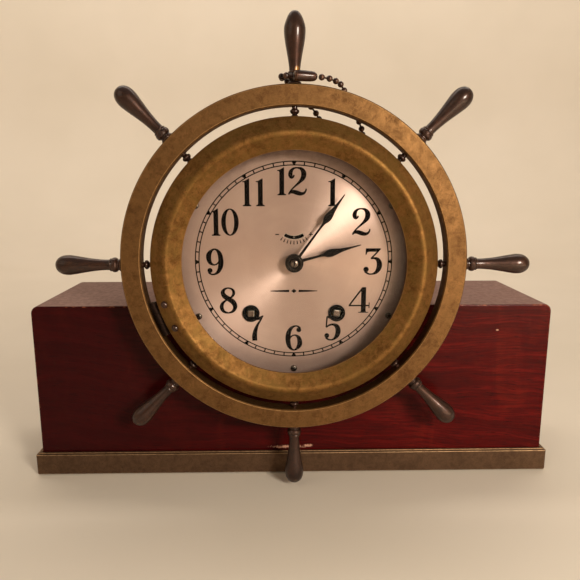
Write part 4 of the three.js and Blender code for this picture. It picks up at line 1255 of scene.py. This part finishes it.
def add_print():
    """The numerals, the minute track, the regulator's scale and a plain rule, printed in black."""
    bm = new_mesh()
    for hour in NUMERALS:
        adopt(bm, numeral_mesh(hour))
    track = [
        prism([circle(0, 0, radius + side * TRACK_LINE / 2, 180) for side in (1, -1)])
        for radius in (TRACK_OUTER, TRACK_INNER)
    ]
    for minute in range(60):
        wide, narrow = (1.4, 0.45) if minute % 5 == 0 else (0.33, 0.33)
        radial = Matrix.Rotation(-radians(6 * minute), 2)
        corners = [(-narrow, TRACK_INNER), (narrow, TRACK_INNER), (wide, TRACK_OUTER), (-wide, TRACK_OUTER)]
        track.append(prism([[tuple(radial @ Vector(c)) for c in corners]], PRINT_HEIGHT + 0.004))
    adopt(bm, combined(track, "UNION", "MANIFOLD"))

    # the regulator's scale, its minus and plus signs, and the rule where a name would stand
    scale_inner, tick, tick_angle = REGULATOR_RADIUS + 1.75, 2, 8.5
    for step in range(-4, 5):
        angle = 270 + step * tick_angle
        a, b = on_circle(scale_inner, angle), on_circle(scale_inner + tick, angle)
        adopt(bm, prism([moved(stroke([(*a, 0.04), (*b, 0.16)], 1), 0, REGULATOR_Z)]))
    minus_x, plus_x, sign_z = -9.2, 9.2, 15
    adopt(bm, prism([stroke([(minus_x - 1, sign_z, 0.14), (minus_x + 1, sign_z, 0.14)], 1)]))
    arm, half = 1.1, 0.25
    cross = [(arm, half), (half, half), (half, arm), (-half, arm), (-half, half), (-arm, half)]
    cross += [(-x, -z) for x, z in cross]
    adopt(bm, prism([moved(cross, plus_x, sign_z)]))
    for side in (-1, 1):
        bar = [(side * 2.6, RULE_Z, 0.5), (side * 7.5, RULE_Z, 0.36), (side * 13, RULE_Z, 0.05)]
        adopt(bm, prism([stroke(bar)]))
    adopt(bm, prism([[(-1.5, RULE_Z), (0, RULE_Z + 1.15), (1.5, RULE_Z), (0, RULE_Z - 1.15)]]))
    piece("dial_print", bm, "case", None, "silvered_dial", INK, sharp=12, weighted=False)


def add_dial_screws():
    top, slot_length, slot_width = -9.2, 5.85, 0.55
    for i in range(DIAL_SCREWS):
        x, z = on_circle(SCREW_CIRCLE, 90 - 60 * i)
        bm = new_mesh()
        head = [(0, top), (0.9, -9.12), (1.5, -8.85), (1.95, -8.3), (1, -8.3), (1, -3.6), (0, -3.6)]
        turned(bm, head, 0.12, 32, x, z, segments=2)
        turn = Matrix.Rotation(radians(chance.uniform(0, 180)), 4, "Y")
        bm = box_cut(bm, Matrix.Translation((x, top, z)) @ turn, slot_length, 1, slot_width)
        piece(f"dial_screw_head_{i + 1}", bm, "case", f"dial_screw_{i + 1}", "steel", DARK_STEEL, sharp=32)


def add_bushes():
    for name, side in (("left", -1), ("right", 1)):
        bm = new_mesh()
        profile = [(3.4, -8.9), (4.8, -8.9), (4.8, -8.3), (3.95, -8.3)]
        profile += [(3.95, -5.0), (2.8, -5.0), (2.8, -5.5), (3.4, -5.5)]
        turned(bm, profile, 0.22, 64, side * WINDING_X, WINDING_Z)
        node = f"winding_grommet_{name}"
        piece(f"bush_{name}", bm, "case", node, "black_bush", BUSH, sharp=40)


# ---- hands


def hand_outline(edge):
    """Hub and leaf along +z, from (distance, half width) knots of the blade's right side."""
    blade = [(half, distance) for distance, half in curve_points(edge, 5)]
    start = degrees(acos(blade[0][0] / HUB_RADIUS))
    hub = arc(HUB_RADIUS, 180 - start, 360 + start, 56)
    return hub + blade + [(-x, z) for x, z in reversed(blade)]


def add_hand(name, node, body, edge, angle, front, hub_front):
    # the plate is drawn in its own XY plane, so its front and back are mirrored to stand along y
    turn = Matrix.Rotation(radians(angle), 4, "Y") @ ABOUT_Y @ Matrix.Scale(-1, 4, (0, 0, 1))
    bm = new_mesh()
    outlines = [hand_outline(edge), circle(0, 0, 1.8, 32)]
    flat(bm, outlines, front, front + HAND_THICKNESS, 0.1, turn)
    piece(name, bm, body, node, "black_steel", BLACK_STEEL, sharp=32)
    if hub_front:
        collet = new_mesh()
        rim = [(1.9, front + 0.1), (1.9, front - 0.25), (2.9, front - 0.25), (3.1, front - 0.5)]
        rim += [(3.9, front - 0.5), (4.2, front - 0.2), (4.2, front + 0.1)]
        turned(collet, rim, 0.14, 64)
        piece(f"{name}_collet", collet, body, None, "black_steel", BLACK_STEEL)


def add_hands():
    minute = [(5.2, 0.76), (14, 0.64), (24.5, 0.62), (26.8, 0.9), (28.4, 1.6), (30.2, 2.02)]
    minute += [(32.2, 1.85), (35.5, 1.15), (40, 0.62), (44.4, 0.3), (45.4, 0.2)]
    hour = [(5.2, 0.8), (9, 0.68), (14.5, 0.68), (16.8, 1.0), (18.3, 1.75), (20.4, 2.12)]
    hour += [(22.6, 1.9), (26, 1.15), (31, 0.62), (36.5, 0.3), (37.5, 0.2)]
    add_hand("hand_minute", "minute_hand", "minute_arbor", minute, MINUTE_ANGLE, MINUTE_FRONT, True)
    add_hand("hand_hour", "hour_hand", "hour_pipe", hour, HOUR_ANGLE, HOUR_FRONT, False)
    nut = new_mesh()
    profile = [(0, -17.1), (1.1, -17.0), (1.9, -16.7), (2.25, -16.25), (2.25, -15.7), (0, -15.7)]
    turned(nut, profile, 0.15, 48)
    piece("nut", nut, "minute_arbor", "hand_nut", "steel", STEEL)
    pin = new_mesh()
    across = aim((-0.45, -16.95, -2.0), (0.9, 0, 4.0))
    spin(pin, [(0, 0), (0.32, 0.1), (0.28, 4.0), (0, 4.1)], [1, 0, 1], across, 14, False)
    piece("nut_pin", pin, "minute_arbor", None, "black_steel", BLACK_STEEL)


# ---- the movement


def gear_outline(teeth, pitch_radius, first):
    """A toothed wheel with rounded clock teeth, one centred on first (radians)."""
    size = 2 * pitch_radius / teeth
    root, tip = pitch_radius - 1.25 * size, pitch_radius + 0.8 * size
    flank, shoulder = pitch_radius - 0.1 * size, tip - 0.25 * size
    corners = [(root, -0.3), (flank, -0.235), (shoulder, -0.15), (tip, -0.03)]
    corners += [(radius, -share) for radius, share in reversed(corners)]
    outline = []
    for tooth in range(teeth):
        for radius, share in corners:
            a = first + (tooth + share) * 2 * pi / teeth
            outline.append((radius * cos(a), radius * sin(a)))
    return outline


def crossings(inner, outer, arm):
    """The windows between a wheel's four arms, each this wide."""
    pad_out, pad_in = degrees(arm / 2 / outer), degrees(arm / 2 / inner)
    windows = []
    for low in range(45, 405, 90):
        high = low + 90
        window = arc(outer, low + pad_out, high - pad_out, 12)
        windows.append(window + arc(inner, high - pad_in, low + pad_in, 8))
    return windows


# teeth and pitch radii
CANNON, MINUTE_WHEEL, MINUTE_PINION, HOUR_WHEEL = (12, 3), (36, 9), (10, 2.4), (40, 9.6)
MINUTE_WHEEL_X = -12


def add_motion_work():
    """Cannon pinion on the centre arbor, minute wheel and pinion, hour wheel and pipe."""
    hole = circle(0, 0, 1.3, 24)
    centre = new_mesh()
    turned(centre, tube(0, 1.5, -15.4, 29.7), 0.25, 32)
    flat(centre, [gear_outline(*CANNON, pi), hole], -3.4, -1, 0.1)
    piece("arbor_centre", centre, "minute_arbor", "centre_arbor", "steel", STEEL, sharp=32)

    look = ("movement_brass", MOVEMENT_BRASS)
    minute = new_mesh()
    wheel = gear_outline(*MINUTE_WHEEL, pi / 36)
    flat(minute, [wheel, hole, *crossings(3.4, 7.0, 1.4)], -3.1, -1.3, 0.1)
    flat(minute, [gear_outline(*MINUTE_PINION, 0), hole], -6.2, -2.8, 0.08)
    minute.transform(Matrix.Translation((MINUTE_WHEEL_X, 0, 0)))
    piece("wheel_minute", minute, "minute_wheel_body", "minute_wheel", *look, sharp=32)

    hour = new_mesh()
    wheel = gear_outline(*HOUR_WHEEL, pi + pi / 40)
    flat(hour, [wheel, circle(0, 0, 1.9, 32), *crossings(4.0, 8.0, 1.6)], -5.9, -4.2, 0.1)
    turned(hour, tube(1.9, 3, -11.5, -4.6), 0.2, 40)
    piece("wheel_hour", hour, "hour_pipe", "hour_wheel", *look, sharp=32)


def add_regulator():
    """The lever behind the dial: its blackened sector fills the slot, its bright peg stands in it."""
    spread, sector_half, arm_half, hub = REGULATOR_HALF_ANGLE + 27, 1.6, 0.8, 2.6
    arm_end, arm_start = 1.0 - REGULATOR_RADIUS, -2.3
    arm = [(-arm_half, arm_end), (arm_half, arm_end), (arm_half, arm_start)]
    arm += arc(hub, -65, 245, 32) + [(-arm_half, arm_start)]
    sector = arc(REGULATOR_RADIUS + sector_half, 270 - spread, 270 + spread, 32)
    sector += arc(REGULATOR_RADIUS - sector_half, 270 + spread, 270 - spread, 32)
    bm = new_mesh()
    flat(bm, [arm, circle(0, 0, 1.3, 24)], -5.6, -4.8, 0.12)
    flat(bm, [sector], -5.8, -5.3, 0.1)
    bm.transform(Matrix.Translation((0, 0, REGULATOR_Z)))
    piece("regulator_arm", bm, "regulator", "regulator_lever", "steel", BLACK_STEEL)

    peg = new_mesh()
    turned(peg, tube(0, 0.5, -8.2, -5.4), 0.12, 20, 0, REGULATOR_Z - REGULATOR_RADIUS)
    piece("regulator_peg", peg, "regulator", None, "steel", STEEL)


def add_winding_arbors():
    """Each arbor with its square end, chamfered for the key; the round part behind it is black."""
    half, shoulder = 1.8, -4.2
    for train, side, angle in (("time", 1, 10), ("strike", -1, 0)):
        bm = new_mesh()
        turned(bm, tube(0, 2.5, -4, 33), 0.3, 40)
        square = [(half, half), (-half, half), (-half, -half), (half, -half)]
        outline, _ = filleted(square, 0.25, True, 2)
        flat(bm, [outline], -9.2, -3, 0.45, steps=1)
        place = Matrix.Translation((side * WINDING_X, 0, WINDING_Z))
        bm.transform(place @ Matrix.Rotation(radians(angle), 4, "Y"))
        for face in bm.faces:
            face.material_index = 0 if face.calc_center_median().y < shoulder else 1
        node = f"{train}_winding_arbor"
        arbor = piece(f"square_{train}", bm, f"{train}_winding", node, "steel", STEEL, sharp=32)
        arbor.data.materials.append(BLACK_STEEL)


def finish_cad_nodes():
    """CAD pieces of the movement keep their shapes and take these finishes."""
    brass = ("movement_front_plate", "movement_back_plate", "time_barrel", "strike_barrel")
    finishes = {
        MOVEMENT_BRASS: (*brass, "balance_wheel", "bell"),
        STEEL: ("case_bolt", "time_mainspring", "strike_mainspring", "strike_hammer"),
    }
    for material, names in finishes.items():
        for name in names:
            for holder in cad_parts[name].material_slots:
                holder.material = material


# ---- floor and lights


def add_floor():
    """A pale bowl, flat under the clock and curving up to a wall well outside every view."""
    flat_radius, bend, top = 0.9, 0.4, 1.5
    outline = [Vector((0, 0)), Vector((flat_radius, 0))]
    for step in range(1, 17):
        a = radians(90 * step / 16)
        outline.append(Vector((flat_radius + bend * sin(a), bend - bend * cos(a))))
    outline.append(Vector((flat_radius + bend, top)))
    bm = new_mesh()
    spin(bm, outline, [0] * len(outline), Matrix.Identity(4), 96, False)
    for face in bm.faces:
        face.smooth = True
    mesh = bpy.data.meshes.new("floor")
    bm.to_mesh(mesh)
    bm.free()
    mesh.materials.append(studio_paint())
    floor = linked("floor", mesh)


def add_light(name, place, target, size, watts, colour):
    data = bpy.data.lights.new(name, "AREA")
    data.shape = "RECTANGLE"
    data.size, data.size_y = size
    data.energy = watts
    data.color = colour
    lamp = linked(name, data)
    lamp.location = place
    lamp.rotation_mode = "QUATERNION"
    lamp.rotation_quaternion = (Vector(target) - Vector(place)).to_track_quat("-Z", "Y")


def add_lights():
    """A warm light from the right and above, a weak fill from the left, and a wash on the wall behind."""
    target = (0, 0, 0.11)
    add_light("key", (0.34, -0.62, 0.33), target, (0.16, 0.16), 4.6, (1.0, 0.9, 0.77))
    add_light("fill", (-0.7, -0.6, 0.6), target, (0.7, 0.7), 1.0, (1.0, 0.9, 0.78))
    add_light("wash", (0, 0.45, 1.35), (0, 1.3, 0.35), (1.8, 0.5), 14, (1.0, 0.9, 0.8))
    add_light("bounce", (0.36, -0.46, 0.04), (0.05, 0, 0.05), (0.5, 0.12), 0.45, (1.0, 0.74, 0.48))
    world = bpy.data.worlds.new("world")
    world.use_nodes = True
    sky = world.node_tree.nodes["Background"]
    sky.inputs["Color"].default_value = (1.0, 0.92, 0.82, 1)
    sky.inputs["Strength"].default_value = 0.24
    bpy.context.scene.world = world
    bpy.context.scene.view_settings.view_transform = "Standard"


add_floor()
add_lights()
add_block()
add_moulding()
add_felt()
add_drum()
add_ring()
add_handles()
add_spindles()
add_bezel()
add_glass()
add_hinge()
add_dial_plate()
add_print()
add_dial_screws()
add_bushes()
add_hands()
add_motion_work()
add_regulator()
add_winding_arbors()
finish_cad_nodes()
